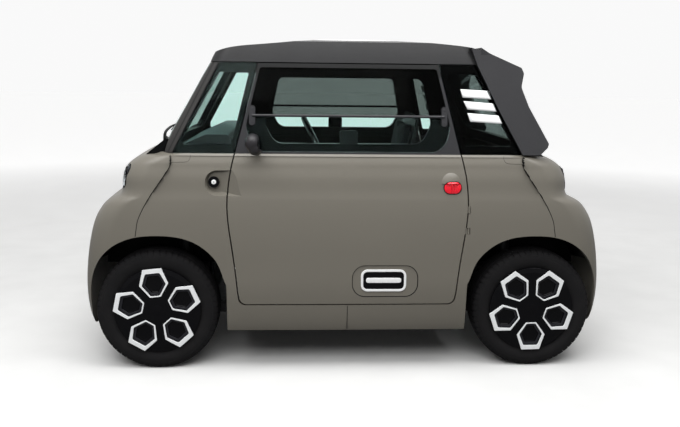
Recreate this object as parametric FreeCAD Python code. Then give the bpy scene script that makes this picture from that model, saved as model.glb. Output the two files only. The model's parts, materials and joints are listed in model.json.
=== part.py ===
import FreeCAD, Part
import math
import os

# Two-seat electric microcar. Millimetres, +X to the front, +Y to the left, +Z up,
# origin on the floor below the middle of the car.

V = FreeCAD.Vector

# Whole car
length = 2410.0
width = 1390.0
height = 1520.0
wheelbase = 1728.0
track = 1140.0
belt_height = 996.0
roof_edge_height = 1400.0

# Wheels
tyre_radius = 278.5
tyre_width = 155.0
rim_radius = 176.0
rim_width = 128.0
cover_radius = 195.0
cover_depth = 14.0
cover_standoff = 2.5
web_thickness = 14.0
hex_count = 5
hex_outline = [(175.0, 33.0), (122.0, 54.0), (70.0, 20.0)]
hex_depth = 18.0

# Walls and clearances
panel_wall = 12.0
side_wall = 45.0
door_wall = 42.0
glass_thickness = 5.0
pillar_depth = 40.0
roof_wall = 22.0
seat_gap = 0.6
touch_gap = 0.3
door_gap = 6.0
seam = 0.8

# Wheel arches
arch_half_length = 308.0
arch_spring_height = 322.0
arch_top_height = 632.0
arch_exponent = 2.4
arch_shift = 10.0
arch_lip = 22.0
liner_clearance = 9.0
liner_wall = 4.0
liner_inner = 328.0

# Doors
door_bottom = 318.0
door_top = 1395.0
door_half_width = 538.0
door_hinge_x = 546.0
door_hinge_y = 684.0
hinge_heights = (655.0, 752.0)
hinge_length = 30.0
hinge_radius = 5.0
hinge_pin_radius = 2.5
window_split_height = 1165.0
bar_radius = 6.0
bar_y = 620.0
clamp_x = 431.0
clamp_half_width = 13.0
clamp_half_height = 43.0
clamp_proud = 11.0
dish_x = -170.0
dish_z = 425.0
dish_half_length = 151.0
dish_half_height = 74.0
dish_floor_y = 689.0

# Chassis
rail_offset = 300.0
rail_size = 50.0
rail_bottom = 176.0
rail_half_length = 1050.0
plate_face_x = 1199.0
plate_height = 340.0
plate_screw_spacing = 180.0
plate_screw_radius = 3.0
floor_height = 228.0
floor_thickness = 12.0
bulkhead_x = 640.0
kingpin_y = 525.0
kingpin_low = 150.0
kingpin_high = 400.0
kingpin_radius = 22.0

# Seats and steering
seat_y = 280.0
seat_width = 420.0
driver_back_x = -215.0
passenger_set_back = 80.0
steering_x = 118.0
steering_z = 979.0
steering_radius = 175.0
steering_rake = 26.6

seat_pan_height = 565.0
strut_y = 375.0
tower_top = 612.0
tower_plate = 14.0
tower_shift = 70.0
post_half = 22.0
coil_radius = 30.0
damper_shift = 100.0
end_beam_half = 340.0
outriggers = (-440.0, -60.0, 60.0, 440.0)
rail_wall = 4.0
member_step = 5.0
motor_half_width = 190.0
battery_bottom = 118.0
bulkhead_top = 860.0
dash_front = 784.0
handle_floor_y = 642.0
handle_height = 871.0
handle_half_height = 44.0
handle_flare = 16.0
lock_x = 600.0
lock_radius = 24.0
hood_x = -460.0
hood_height = 864.0
hood_radius = 81.0
hood_sunk = 9.0

# Lamps
head_lamp_y = 578.0
tail_lamp_y = 548.0
lamp_height = 886.0
lamp_half_width = 36.0
lamp_half_height = 56.0
lamp_rear = 930.0
lamp_proud = 3.0

# Roof light
roof_light_x = 360.0
roof_light_y = 390.0
roof_light_ledge = 24.0

half_length = length / 2
half_width = width / 2
axle_x = wheelbase / 2
cross_members = (rail_half_length - 25, axle_x + 90, axle_x - 110, 470, -470, -axle_x - 90,
                 25 - rail_half_length)
wheel_y = track / 2
hub_end = wheel_y + rim_width / 2 + cover_standoff - web_thickness - touch_gap

# Lower body: height, set back from the nose, tuck in from the widest side, corner radius
lower_stations = [
    (188.0, 30.0, 32.0, 120.0),
    (250.0, 10.0, 15.0, 120.0),
    (330.0, 0.0, 5.0, 120.0),
    (430.0, 0.0, 0.0, 120.0),
    (520.0, 8.0, 0.0, 120.0),
    (600.0, 21.0, 0.0, 120.0),
    (670.0, 38.0, 2.0, 120.0),
    (730.0, 64.0, 5.0, 120.0),
    (768.0, 92.0, 8.0, 120.0),
    (790.0, 124.0, 10.0, 120.0),
    (806.0, 158.0, 12.0, 120.0),
    (826.0, 170.0, 15.0, 120.0),
    (880.0, 173.0, 20.0, 125.0),
    (915.0, 181.0, 26.0, 130.0),
    (945.0, 200.0, 32.0, 135.0),
    (968.0, 232.0, 38.0, 140.0),
    (985.0, 278.0, 43.0, 140.0),
    (belt_height, 330.0, 50.0, 140.0),
]
lower_bow_side = 16.0
lower_bow_end = 24.0

# Glasshouse: height, half length at the middle, half width, corner radius
upper_stations = [
    (belt_height, 858.0, 638.0, 80.0),
    (1076.0, 828.0, 626.0, 80.0),
    (1180.0, 771.0, 608.0, 80.0),
    (1290.0, 710.0, 588.0, 80.0),
    (1365.0, 668.0, 573.0, 80.0),
    (1440.0, 622.0, 557.0, 80.0),
]
upper_bow_side = 8.0
upper_bow_end = 34.0

# Roof crown along the car: position, height
roof_crown = [
    (660.0, 1412.0), (600.0, 1444.0), (400.0, 1479.0), (180.0, 1502.0), (0.0, height), (-200.0, 1508.0),
    (-450.0, 1488.0), (-680.0, 1463.0),
]
roof_cross_drop = 30.0
roof_half_width = 562.0

# Roof sides: height above the roof edge, half length, how much narrower than at the edge
roof_stations = [(0.0, 648.0, 0.0), (52.0, 622.0, 14.0), (140.0, 540.0, 62.0)]


def mirror_y(shape):
    """The same piece on the other side of the car."""
    return shape.mirror(V(0, 0, 0), V(0, 1, 0))


def mirror_x(shape):
    """The same piece at the other end of the car."""
    return shape.mirror(V(0, 0, 0), V(1, 0, 0))


def box(x0, x1, y0, y1, z0, z1):
    """Block between two corners."""
    return Part.makeBox(x1 - x0, y1 - y0, z1 - z0, V(x0, y0, z0))


def rod(start, end, radius):
    """Round bar between two points."""
    line = end - start
    return Part.makeCylinder(radius, line.Length, start, line)


def join(shapes):
    """One solid from pieces that meet."""
    first = shapes[0]
    joined = first.fuse(shapes[1:]) if len(shapes) > 1 else first
    return joined.removeSplitter()


def rounded_wire(points, radii, place):
    """Closed outline with a rounded corner at each point; place turns (u, v) into a point."""
    edges = []
    ends = []
    count = len(points)
    for i in range(count):
        before = V(*points[i - 1], 0)
        here = V(*points[i], 0)
        after = V(*points[(i + 1) % count], 0)
        to_before = (before - here).normalize()
        to_after = (after - here).normalize()
        half = to_before.getAngle(to_after) / 2
        reach = radii[i] / math.tan(half) if radii[i] > 0 else 0.0
        start = here + to_before * reach
        end = here + to_after * reach
        middle_way = (to_before + to_after).normalize()
        centre = here + middle_way * (radii[i] / math.sin(half))
        middle = centre - middle_way * radii[i]
        ends.append((start, middle, end))
    for i in range(count):
        start, middle, end = ends[i]
        if radii[i] > 0:
            edges.append(Part.Arc(place(start), place(middle), place(end)).toShape())
        next_start = ends[(i + 1) % count][0]
        edges.append(Part.makeLine(place(end), place(next_start)))
    return Part.Wire(edges)


def side_place(y):
    """Outlines seen from the side, in X and Z."""
    return lambda p: V(p.x, y, p.y)


def end_place(x):
    """Outlines seen from the end, in Y and Z."""
    return lambda p: V(x, p.x, p.y)


def plan_place(z):
    """Outlines seen from above, in X and Y."""
    return lambda p: V(p.x, p.y, z)


def side_prism(points, radii, y0, y1):
    """Side outline drawn out across the car from y0 to y1."""
    return Part.Face(rounded_wire(points, radii, side_place(y0))).extrude(V(0, y1 - y0, 0))


def end_prism(points, radii, x0, x1):
    """End outline drawn out along the car from x0 to x1."""
    return Part.Face(rounded_wire(points, radii, end_place(x0))).extrude(V(x1 - x0, 0, 0))


def plan_prism(points, radii, z0, z1):
    """Plan outline drawn up from z0 to z1."""
    return Part.Face(rounded_wire(points, radii, plan_place(z0))).extrude(V(0, 0, z1 - z0))


def plan_outline(z, half_x, half_y, corner, bow_side, bow_end):
    """Bowed rectangle with rounded corners: eight arcs that run smoothly into each other."""
    side_radius = (half_x ** 2 + bow_side ** 2) / (2 * bow_side)
    end_radius = (half_y ** 2 + bow_end ** 2) / (2 * bow_end)
    side_centre = V(0, half_y - side_radius, 0)
    end_centre = V(half_x - end_radius, 0, 0)
    from_side = side_radius - corner
    from_end = end_radius - corner
    between = end_centre - side_centre
    gap = between.Length
    along = (from_side ** 2 - from_end ** 2 + gap ** 2) / (2 * gap)
    across = math.sqrt(from_side ** 2 - along ** 2)
    direction = between * (1 / gap)
    normal = V(direction.y, -direction.x, 0)
    centre = side_centre + direction * along + normal * across
    on_side = side_centre + (centre - side_centre) * (side_radius / from_side)
    on_end = end_centre + (centre - end_centre) * (end_radius / from_end)
    half_way = ((on_side - centre) + (on_end - centre)).normalize()
    on_corner = centre + half_way * corner

    def at(point, sx, sy):
        return V(sx * point.x, sy * point.y, z)

    def arc(a, b, c):
        return Part.Arc(a, b, c).toShape()

    edges = [
        arc(at(on_end, 1, -1), V(half_x, 0, z), at(on_end, 1, 1)),
        arc(at(on_end, 1, 1), at(on_corner, 1, 1), at(on_side, 1, 1)),
        arc(at(on_side, 1, 1), V(0, half_y, z), at(on_side, -1, 1)),
        arc(at(on_side, -1, 1), at(on_corner, -1, 1), at(on_end, -1, 1)),
        arc(at(on_end, -1, 1), V(-half_x, 0, z), at(on_end, -1, -1)),
        arc(at(on_end, -1, -1), at(on_corner, -1, -1), at(on_side, -1, -1)),
        arc(at(on_side, -1, -1), V(0, -half_y, z), at(on_side, 1, -1)),
        arc(at(on_side, 1, -1), at(on_corner, 1, -1), at(on_end, 1, -1)),
    ]
    return Part.Wire(edges)


def lower_form(inset, drop):
    """Solid form of the lower body, shrunk by inset and lowered by drop."""
    wires = []
    for z, set_back, tuck, corner in lower_stations:
        half_x = half_length - set_back - inset
        half_y = half_width - tuck - inset
        wires.append(plan_outline(z - drop, half_x, half_y, corner - inset, lower_bow_side, lower_bow_end))
    return Part.makeLoft(wires, True, False)


def upper_form(inset):
    """Solid form of the glasshouse, shrunk by inset."""
    wires = []
    for z, half_x, half_y, corner in upper_stations:
        wires.append(plan_outline(z, half_x - inset, half_y - inset, corner - inset,
                                  upper_bow_side, upper_bow_end))
    return Part.makeLoft(wires, True, False)


def arch_wire(centre_x, grow, y):
    """Wheel arch seen from the side: straight legs and a squarish crown."""
    half = arch_half_length + grow
    rise = arch_top_height - arch_spring_height + grow
    power = 2 / arch_exponent
    points = []
    steps = 12
    for i in range(steps + 1):
        angle = math.pi * i / steps
        u = math.copysign(abs(math.cos(angle)) ** power, math.cos(angle)) * half
        v = abs(math.sin(angle)) ** power * rise
        points.append(V(centre_x + u, y, arch_spring_height + v))
    crown = Part.BSplineCurve()
    crown.interpolate(points, InitialTangent=V(0, 0, 1), FinalTangent=V(0, 0, -1))
    low = V(centre_x - half, y, 0)
    low_front = V(centre_x + half, y, 0)
    legs = [Part.makeLine(points[-1], low), Part.makeLine(low, low_front),
            Part.makeLine(low_front, points[0])]
    return Part.Wire([crown.toShape()] + legs)


def arch_prism(grow, y0, y1):
    """Space of the left front wheel arch."""
    face = Part.Face(arch_wire(axle_x - arch_shift, grow, y0))
    return face.extrude(V(0, y1 - y0, 0))


def all_four(shape):
    """A left front piece and its copies at the other three corners."""
    return [shape, mirror_y(shape), mirror_x(shape), mirror_y(mirror_x(shape))]


def door_wire(grow, y):
    """Door edge seen from the side, the same towards the front and the rear."""
    top = door_top + grow
    bottom = door_bottom - grow
    wide = door_half_width + grow
    edge = [
        V(wide - 44, y, 372),
        V(wide - 20, y, 576),
        V(wide, y, 752),
        V(wide - 8, y, 880),
        V(wide - 34, y, 1003),
        V(wide - 65, y, 1125),
    ]
    front = Part.BSplineCurve()
    front.interpolate(edge, InitialTangent=V(0.09, 0, 1), FinalTangent=V(-0.252, 0, 1))
    rear = Part.BSplineCurve()
    rear.interpolate([V(-p.x, y, p.z) for p in reversed(edge)],
                     InitialTangent=V(-0.252, 0, -1), FinalTangent=V(0.09, 0, -1))
    top_x = wide - 65 - 0.252 * (top - 1125)
    corner_x = wide - 48
    corner = 34.0
    turn = corner * (1 - math.sqrt(0.5))
    foot = [V(corner_x, y, bottom + corner), V(corner_x - turn, y, bottom + turn),
            V(corner_x - corner, y, bottom)]
    rear_foot = [V(-p.x, y, p.z) for p in foot]
    edges = [
        front.toShape(),
        Part.makeLine(edge[-1], V(top_x, y, top)),
        Part.makeLine(V(top_x, y, top), V(-top_x, y, top)),
        Part.makeLine(V(-top_x, y, top), V(-edge[-1].x, y, edge[-1].z)),
        rear.toShape(),
        Part.makeLine(V(-edge[0].x, y, edge[0].z), rear_foot[0]),
        Part.Arc(*rear_foot).toShape(),
        Part.makeLine(rear_foot[2], foot[2]),
        Part.Arc(foot[2], foot[1], foot[0]).toShape(),
        Part.makeLine(foot[0], edge[0]),
    ]
    return Part.Wire(edges)


def door_prism(grow):
    """Space of the left door, drawn out across the left half of the car."""
    return Part.Face(door_wire(grow, 0)).extrude(V(0, half_width + 60, 0))


def end_region(offset):
    """Space ahead of the seam that runs from the windscreen foot to the front arch."""
    seam_points = [(792, 1020), (789, 952), (806, 916), (879, 809), (934, 702), (947, 610), (948, 520)]
    line = Part.BSplineCurve()
    line.interpolate([V(x + offset, -half_width - 60, z) for x, z in seam_points])
    top = V(seam_points[0][0] + offset, -half_width - 60, seam_points[0][1])
    low = V(seam_points[-1][0] + offset, -half_width - 60, seam_points[-1][1])
    far_top = V(half_length + 60, top.y, top.z)
    far_low = V(half_length + 60, top.y, 0)
    near_low = V(low.x, top.y, 0)
    edges = [line.toShape(), Part.makeLine(low, near_low), Part.makeLine(near_low, far_low),
             Part.makeLine(far_low, far_top), Part.makeLine(far_top, top)]
    return Part.Face(Part.Wire(edges)).extrude(V(0, width + 120, 0))


# Forms that many pieces share
lower_outer = lower_form(0, 0)
lower_skin_inner = lower_form(panel_wall, panel_wall)
lower_side_inner = lower_form(side_wall, 0)
lower_door_inner = lower_form(door_wall, 0)
upper_outer = upper_form(0)
upper_glass_inner = upper_form(glass_thickness)
upper_frame_outer = upper_form(glass_thickness + seat_gap)
upper_frame_inner = upper_form(pillar_depth)
arch_space = arch_prism(0, 200, half_width + 60)
left_door_space = door_prism(door_gap)
door_spaces = [left_door_space, mirror_y(left_door_space)]
glass_layer = upper_outer.cut(upper_glass_inner)


def lamp_space(y, grow):
    """Upright capsule through the nose at the left lamp."""
    wide = lamp_half_width + grow
    tall = lamp_half_height + grow
    points = [(y - wide, lamp_height - tall), (y + wide, lamp_height - tall),
              (y + wide, lamp_height + tall), (y - wide, lamp_height + tall)]
    return end_prism(points, [wide - 1] * 4, lamp_rear, half_length)


def front_panel(lamp_y):
    """One-piece nose with bonnet, bumper, lamp holes and both wings' front halves."""
    skin = lower_outer.cut(lower_skin_inner)
    lip_space = arch_prism(arch_lip, half_width - side_wall - 14, half_width + 60)
    lip = lower_outer.cut(lower_side_inner).common(lip_space.fuse(mirror_y(lip_space)))
    whole = skin.fuse(lip).common(end_region(0))
    bores = [lamp_space(lamp_y, touch_gap), mirror_y(lamp_space(lamp_y, touch_gap))]
    whole = whole.cut([arch_space, mirror_y(arch_space)] + bores)
    cabin = plan_prism([(600, -560), (825, -560), (825, 560), (600, 560)], [0, 0, 0, 0], 900, 1100)
    low = plate_height - 60
    high = plate_height + 60
    pad = [(-115, low), (115, low), (115, high), (-115, high)]
    recess = end_prism(pad, [8] * 4, plate_face_x, half_length + 20)
    screws = []
    for side in (-1, 1):
        y = side * plate_screw_spacing / 2
        screws.append(rod(V(plate_face_x - 60, y, plate_height), V(half_length + 20, y, plate_height),
                          plate_screw_radius))
    return whole.cut([cabin, recess] + screws)


def side_panel():
    """Left front quarter panel with the front half of the sill."""
    wall = lower_outer.cut(lower_side_inner)
    region = box(seam / 2, half_length, 0, half_width + 10, 0, belt_height + 10)
    panel = wall.common(region)
    panel = panel.cut([end_region(-seam), arch_space, left_door_space])
    return panel


def handle_scoop():
    """Flared bowl for the hand, deep at the lock and fading out on the door."""
    wires = []
    for y, grow in ((handle_floor_y, 0), (half_width + 20, 2 * handle_flare)):
        low = handle_height - handle_half_height - grow
        high = handle_height + handle_half_height + grow
        outline = [(430, low), (lock_x + 26 + grow, low), (lock_x + 26 + grow, high), (430, high)]
        round_end = handle_half_height - 4 + grow
        wires.append(rounded_wire(outline, [0, round_end, round_end, 0], side_place(y)))
    bowl = Part.makeLoft(wires, True, True)
    slope = [(lock_x + 80, handle_floor_y), (lock_x - 30, handle_floor_y), (430, half_width + 2),
             (430, half_width + 20), (lock_x + 80, half_width + 20)]
    return bowl.common(plan_prism(slope, [0, 60, 0, 0, 0], 700, 1000))


def door_window_wire(y, grow):
    """Clear opening of a door window."""
    points = [(-330 - grow, 1042 - grow), (330 + grow, 1042 - grow), (376 + grow, 1128),
              (334 + grow, 1334 + grow), (-334 - grow, 1334 + grow), (-376 - grow, 1128)]
    return rounded_wire(points, [60, 60, 60, 40, 40, 60], side_place(y))


def door_glass_space(grow):
    """Outline of the whole side glass on a door."""
    low = belt_height + 10 - grow
    high = roof_edge_height - 24 + grow
    points = [(-430 - grow, low), (430 + grow, low), (460 + grow, 1120), (397 + grow, high),
              (-397 - grow, high), (-460 - grow, 1120)]
    return side_prism(points, [80, 80, 60, 12, 12, 60], 0, half_width + 40)


def bar_clamp(side, grow):
    """Outline of one clamp that holds the bar across the door glass."""
    middle = side * clamp_x
    wide = clamp_half_width + grow
    low = window_split_height - clamp_half_height - grow
    high = window_split_height + clamp_half_height + grow
    points = [(middle - wide, low), (middle + wide, low), (middle + wide, high), (middle - wide, high)]
    return side_prism(points, [wide - 1] * 4, 500, half_width)


def window_bar():
    """Bar across the left door glass with its two clamps."""
    stand = upper_form(-clamp_proud).cut(upper_form(glass_thickness + 6))
    clamps = [stand.common(bar_clamp(side, 0)) for side in (-1, 1)]
    start = V(-clamp_x, bar_y, window_split_height)
    bar = rod(start, V(clamp_x, bar_y, window_split_height), bar_radius)
    return clamps[0].fuse([clamps[1], bar])


def panel_dish():
    """Shallow capsule pressed into the lower rear of the left door."""
    front = dish_x + dish_half_length
    rear = dish_x - dish_half_length
    low = dish_z - dish_half_height
    high = dish_z + dish_half_height
    points = [(rear, low), (front, low), (front, high), (rear, high)]
    return side_prism(points, [60] * 4, dish_floor_y, half_width + 20)


def reflector_hood():
    """Lip above the oval reflector of the left door."""
    centre_y = half_width - hood_sunk - hood_radius
    dome = Part.makeSphere(hood_radius, V(hood_x, centre_y, hood_height))
    return dome.common(box(hood_x - 60, hood_x + 60, half_width - 50, half_width,
                           hood_height + 5, hood_height + 60))


def hinge_leaf(z):
    """Barrel and arm of one hinge of the left door, about the pin at its rear edge."""
    low = z - hinge_length / 2
    barrel = Part.makeCylinder(hinge_radius, hinge_length, V(-door_hinge_x, door_hinge_y, low))
    arm = box(-door_hinge_x, -door_hinge_x + 30, door_hinge_y - 10, door_hinge_y - 2, low, low + hinge_length)
    bore = Part.makeCylinder(hinge_pin_radius + touch_gap, hinge_length, V(-door_hinge_x, door_hinge_y, low))
    return barrel.fuse(arm).cut(bore)


def hinge_notch(z):
    """Notch in the quarter panel that one hinge turns in."""
    reach = hinge_radius + 1.5
    low = z - hinge_length / 2 - seat_gap
    return box(-door_hinge_x - reach, -door_hinge_x + 30, door_hinge_y - 12, half_width + 40,
               low, low + hinge_length + 2 * seat_gap)


def hinge_pin(z):
    """Pin of one hinge, held above and below its notch."""
    span = hinge_length + 12
    return Part.makeCylinder(hinge_pin_radius, span, V(-door_hinge_x, door_hinge_y, z - span / 2))


def rear_quarter_panel():
    """Left rear quarter panel with the rear half of the sill and the pins of the door hinges."""
    panel = mirror_x(side_panel())
    panel = panel.cut([hinge_notch(z) for z in hinge_heights])
    return panel.fuse([hinge_pin(z) for z in hinge_heights])


def door():
    """Left door with its window opening, hinged at its rear edge."""
    lower = lower_outer.cut(lower_door_inner)
    upper = upper_outer.cut(upper_form(door_wall - 6))
    upper = upper.cut(glass_layer_gap.common(door_glass_space(seat_gap)))
    space = door_prism(0)
    panel = lower.common(space).fuse(upper.common(space))
    hole = Part.Face(door_window_wire(0, 0)).extrude(V(0, half_width + 40, 0))
    panel = panel.cut(hole)
    panel = panel.cut([handle_scoop(), panel_dish()])
    extras = [hinge_leaf(z) for z in hinge_heights] + [window_bar(), reflector_hood()]
    return panel.fuse(extras).removeSplitter()


def door_glass():
    """Fixed lower pane and flap above it."""
    low = window_split_height - clamp_half_height - seat_gap
    high = window_split_height + clamp_half_height + seat_gap
    beyond = box(clamp_x, clamp_x + 100, 0, half_width, low, high)
    layer = glass_layer.common(door_glass_space(0))
    layer = layer.cut([bar_clamp(side, seat_gap) for side in (-1, 1)] + [beyond, mirror_x(beyond)])
    half_bar = seat_gap
    low = box(-500, 500, 0, half_width, 1000, window_split_height - half_bar)
    high = box(-500, 500, 0, half_width, window_split_height + half_bar, 1400)
    return Part.makeCompound([layer.common(low), layer.common(high)])


def quarter_glass_space(grow):
    """Outline of a front side glass behind the windscreen pillar."""
    points = [(500, belt_height + seat_gap), (786 + grow, belt_height + seat_gap),
              (577 + grow, roof_edge_height - 4), (360, roof_edge_height - 4)]
    return side_prism(points, [0, 0, 0, 0], 0, half_width + 40)


def quarter_window():
    """Clear opening behind the windscreen pillar."""
    points = [(524, 1034), (740, 1034), (738, 1064), (578, 1354), (446, 1354)]
    return side_prism(points, [14, 10, 12, 8, 8], 0, half_width + 40)


def screen_space(grow):
    """Outline of the windscreen seen from the front."""
    low = 585 + grow
    high = 512 + grow
    points = [(-low, belt_height + seat_gap), (low, belt_height + seat_gap),
              (high, roof_edge_height - 4), (-high, roof_edge_height - 4)]
    return end_prism(points, [0, 0, 0, 0], 300, half_length)


def screen_window():
    """Clear opening of the windscreen."""
    points = [(-535, 1045), (535, 1045), (470, 1365), (-470, 1365)]
    return end_prism(points, [40, 40, 40, 40], 300, half_length)


def upper_frame():
    """Pillars and roof rails around the cabin."""
    ring = upper_frame_outer.cut(upper_frame_inner)
    ring = ring.common(box(-half_length, half_length, -half_width, half_width,
                           belt_height + seat_gap, roof_edge_height - seat_gap))
    ring = ring.cut(door_spaces)
    window = screen_window()
    side = quarter_window()
    ring = ring.cut([window, mirror_x(window)] + all_four(side))
    rails = upper_form(roof_wall + 8).cut(upper_form(roof_wall + 44))
    rails = rails.common(box(-half_length, half_length, -half_width, half_width,
                             roof_edge_height - 20, roof_edge_height + 24))
    rails = rails.cut([window, mirror_x(window), roof_outer.cut(roof_form(roof_wall + seat_gap))])
    rail_gap = box(-520, 520, -half_width, half_width, roof_edge_height - 30, door_top + door_gap)
    return ring.fuse(rails.cut(rail_gap)).removeSplitter()


def roof_form(inset):
    """Solid form of the roof, shrunk by inset."""
    wires = []
    for rise, half_x, narrow in roof_stations:
        half_y = roof_half_width - narrow
        wires.append(plan_outline(roof_edge_height + rise, half_x - inset, half_y - inset, 80 - inset,
                                  upper_bow_side, upper_bow_end))
    sides = Part.makeLoft(wires, True, False)
    crown = Part.BSplineCurve()
    crown.interpolate([V(x, -700, z - inset) for x, z in roof_crown])
    first = V(roof_crown[0][0], -700, 1300)
    last = V(roof_crown[-1][0], -700, 1300)
    along = Part.Wire([crown.toShape(), Part.makeLine(crown.EndPoint, last), Part.makeLine(last, first),
                       Part.makeLine(first, crown.StartPoint)])
    lengthwise = Part.Face(along).extrude(V(0, 1400, 0))
    edge_z = height - roof_cross_drop - inset
    left = V(-700, roof_half_width, edge_z)
    right = V(-700, -roof_half_width, edge_z)
    low_left = V(-700, roof_half_width, 1300)
    low_right = V(-700, -roof_half_width, 1300)
    arc = Part.Arc(right, V(-700, 0, height - inset), left).toShape()
    across = Part.Wire([arc, Part.makeLine(left, low_left), Part.makeLine(low_left, low_right),
                        Part.makeLine(low_right, right)])
    crosswise = Part.Face(across).extrude(V(1400, 0, 0))
    return sides.common(lengthwise).common(crosswise)


def roof_glass_space(half_x, half_y):
    """Outline of the roof light."""
    points = [(-half_x, -half_y), (half_x, -half_y), (half_x, half_y), (-half_x, half_y)]
    return plan_prism(points, [60, 60, 60, 60], 1380, 1560)


roof_outer = roof_form(0)
roof_inner = roof_form(roof_wall)
glass_layer_gap = upper_outer.cut(upper_frame_outer)


def roof_panel():
    """Roof with a ledge for the roof light."""
    shell = roof_outer.cut(roof_inner)
    ledge = roof_outer.cut(roof_form(glass_thickness + seat_gap))
    shell = shell.cut(ledge.common(roof_glass_space(roof_light_x + seat_gap, roof_light_y + seat_gap)))
    through = roof_glass_space(roof_light_x - roof_light_ledge, roof_light_y - roof_light_ledge)
    return shell.cut(through)


def roof_glass():
    """Roof light."""
    layer = roof_outer.cut(roof_form(glass_thickness))
    return layer.common(roof_glass_space(roof_light_x, roof_light_y))


def wing_profile(grow, y0, y1):
    """Rear pillar cover seen from the side, with its lip behind the roof."""
    low = belt_height + seat_gap
    points = [(-556 + grow, 1475), (-640, 1450), (-786, 1387), (-797, 1362), (-785, 1300), (-820, 1212),
              (-912, 1048), (-906, 1030), (-872, low), (-792 + grow, low), (-689 + grow, 1184),
              (-586 + grow, 1391)]
    radii = [0, 60, 8, 20, 40, 60, 8, 8, 0, 0, 0, 0]
    return side_prism(points, radii, y0, y1)


def rear_wings():
    """Covers over both rear pillars, joined by the lip above the rear window."""
    across = [(588, belt_height), (640, belt_height), (567, roof_edge_height), (554, 1480), (500, 1480),
              (514, roof_edge_height)]
    slab = end_prism(across, [0] * 6, -half_length, 0)
    fin = wing_profile(0, 0, half_width).common(slab)
    lip_points = [(-600, 1475), (-640, 1450), (-786, 1387), (-797, 1362), (-776, 1352), (-690, 1385),
                  (-600, 1415)]
    lip = side_prism(lip_points, [0, 60, 8, 12, 8, 20, 0], -560, 560)
    whole = fin.fuse([mirror_y(fin), lip])
    rear_glass = upper_form(-seat_gap).common(mirror_x(screen_space(seat_gap)))
    quarters = [mirror_x(quarter_glass_space(seat_gap)), mirror_x(mirror_y(quarter_glass_space(seat_gap)))]
    return whole.cut([upper_glass_inner, roof_form(-seat_gap), rear_glass] + quarters)


def cowl():
    """Black scuttle between the bonnet and the windscreen."""
    points = [(912, 984), (822, 1056), (790, 1056), (790, 975), (905, 975)]
    bar = side_prism(points, [6, 4, 0, 0, 0], -560, 560)
    return bar.cut([upper_form(-seat_gap), lower_form(-seat_gap, 0)])


def tyre(x, y):
    """Low road tyre with rounded shoulders."""
    half = tyre_width / 2
    bead = rim_width / 2
    inner = rim_radius + touch_gap
    section = [
        (bead - 2, inner), (bead + 2, inner + 20), (half - 1.5, inner + 42), (half, inner + 58),
        (half - 6, tyre_radius - 16), (half - 20, tyre_radius),
    ]
    section += [(-u, v) for u, v in reversed(section)]
    radii = [0, 20, 20, 40, 18, 12, 12, 18, 40, 20, 20, 0]
    wire = rounded_wire(section, radii, lambda p: V(x, y + p.x, tyre_radius + p.y))
    return Part.Face(wire).revolve(V(x, y, tyre_radius), V(0, 1, 0), 360)


def wheel(x, side, turn):
    """Rim and its cover with five six-sided pockets; side is 1 on the left and -1 on the right."""
    y = side * wheel_y
    bead = rim_width / 2
    face = bead + cover_standoff
    section = [
        (-bead, rim_radius - 14), (-bead, rim_radius), (bead, rim_radius), (face, cover_radius),
        (face + cover_depth - 5, cover_radius), (face + cover_depth, cover_radius - 20),
        (face + cover_depth + 3, 40), (face + cover_depth + 3, 0), (face - web_thickness, 0),
        (face - web_thickness, rim_radius - 26), (bead - 30, rim_radius - 14),
    ]
    radii = [0, 0, 0, 0, 3, 12, 0, 0, 0, 8, 8]
    wire = rounded_wire(section, radii, lambda p: V(x, y + side * p.x, tyre_radius + p.y))
    body = Part.Face(wire).revolve(V(x, y, tyre_radius), V(0, 1, 0), 360)
    shape = hex_outline + [(out, -across) for out, across in reversed(hex_outline)]
    pockets = []
    for i in range(hex_count):
        way = turn + 2 * math.pi * i / hex_count
        points = []
        for out, across in shape:
            points.append((x + out * math.sin(way) + across * math.cos(way),
                           tyre_radius + out * math.cos(way) - across * math.sin(way)))
        top = y + side * (face + cover_depth + 20)
        low = y + side * (face + cover_depth - hex_depth)
        pockets.append(side_prism(points, [9] * 6, low, top))
    return body.cut(pockets)


def knuckle():
    """Left steering knuckle: upright on its kingpin, hub stub and steering arm."""
    upright = Part.makeCylinder(kingpin_radius, kingpin_high - kingpin_low - 2 * touch_gap,
                                V(axle_x, kingpin_y, kingpin_low + touch_gap))
    stub = rod(V(axle_x, kingpin_y - 18, tyre_radius), V(axle_x, hub_end, tyre_radius), 42)
    flange = rod(V(axle_x, hub_end - 14, tyre_radius), V(axle_x, hub_end, tyre_radius), 70)
    arm = side_prism([(axle_x, 215), (axle_x - 118, 222), (axle_x - 118, 238), (axle_x, 262)], [0, 7, 7, 0],
                     kingpin_y - 16, kingpin_y + 6)
    return join([upright, stub, flange, arm])


def strut(x, low, y_low, y_high):
    """Damper rod, damper body and coil of one corner, from its arm to its tower."""
    top = V(x, y_high, tower_top)
    foot = V(x, y_low, low)
    way = top - foot
    body = rod(foot, foot + way * 0.55, 20)
    coil = rod(foot + way * 0.4, top + way * 0.05, coil_radius)
    return body.fuse(coil).common(box(x - 60, x + 60, 0, half_width, 0, tower_top - touch_gap))


def arm_with_bushes(spread, face_y, height, hub_y, hub_height, leg_radius, bush_radius):
    """Two legs of a wishbone, each with its bush against the frame at face_y."""
    eye = face_y + touch_gap + bush_radius
    parts = []
    for way in (-1, 1):
        x = axle_x + way * spread
        parts.append(rod(V(x, eye, height), V(axle_x, hub_y, hub_height), leg_radius))
        parts.append(rod(V(x - 18, eye, height), V(x + 18, eye, height), bush_radius))
    return parts


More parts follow.
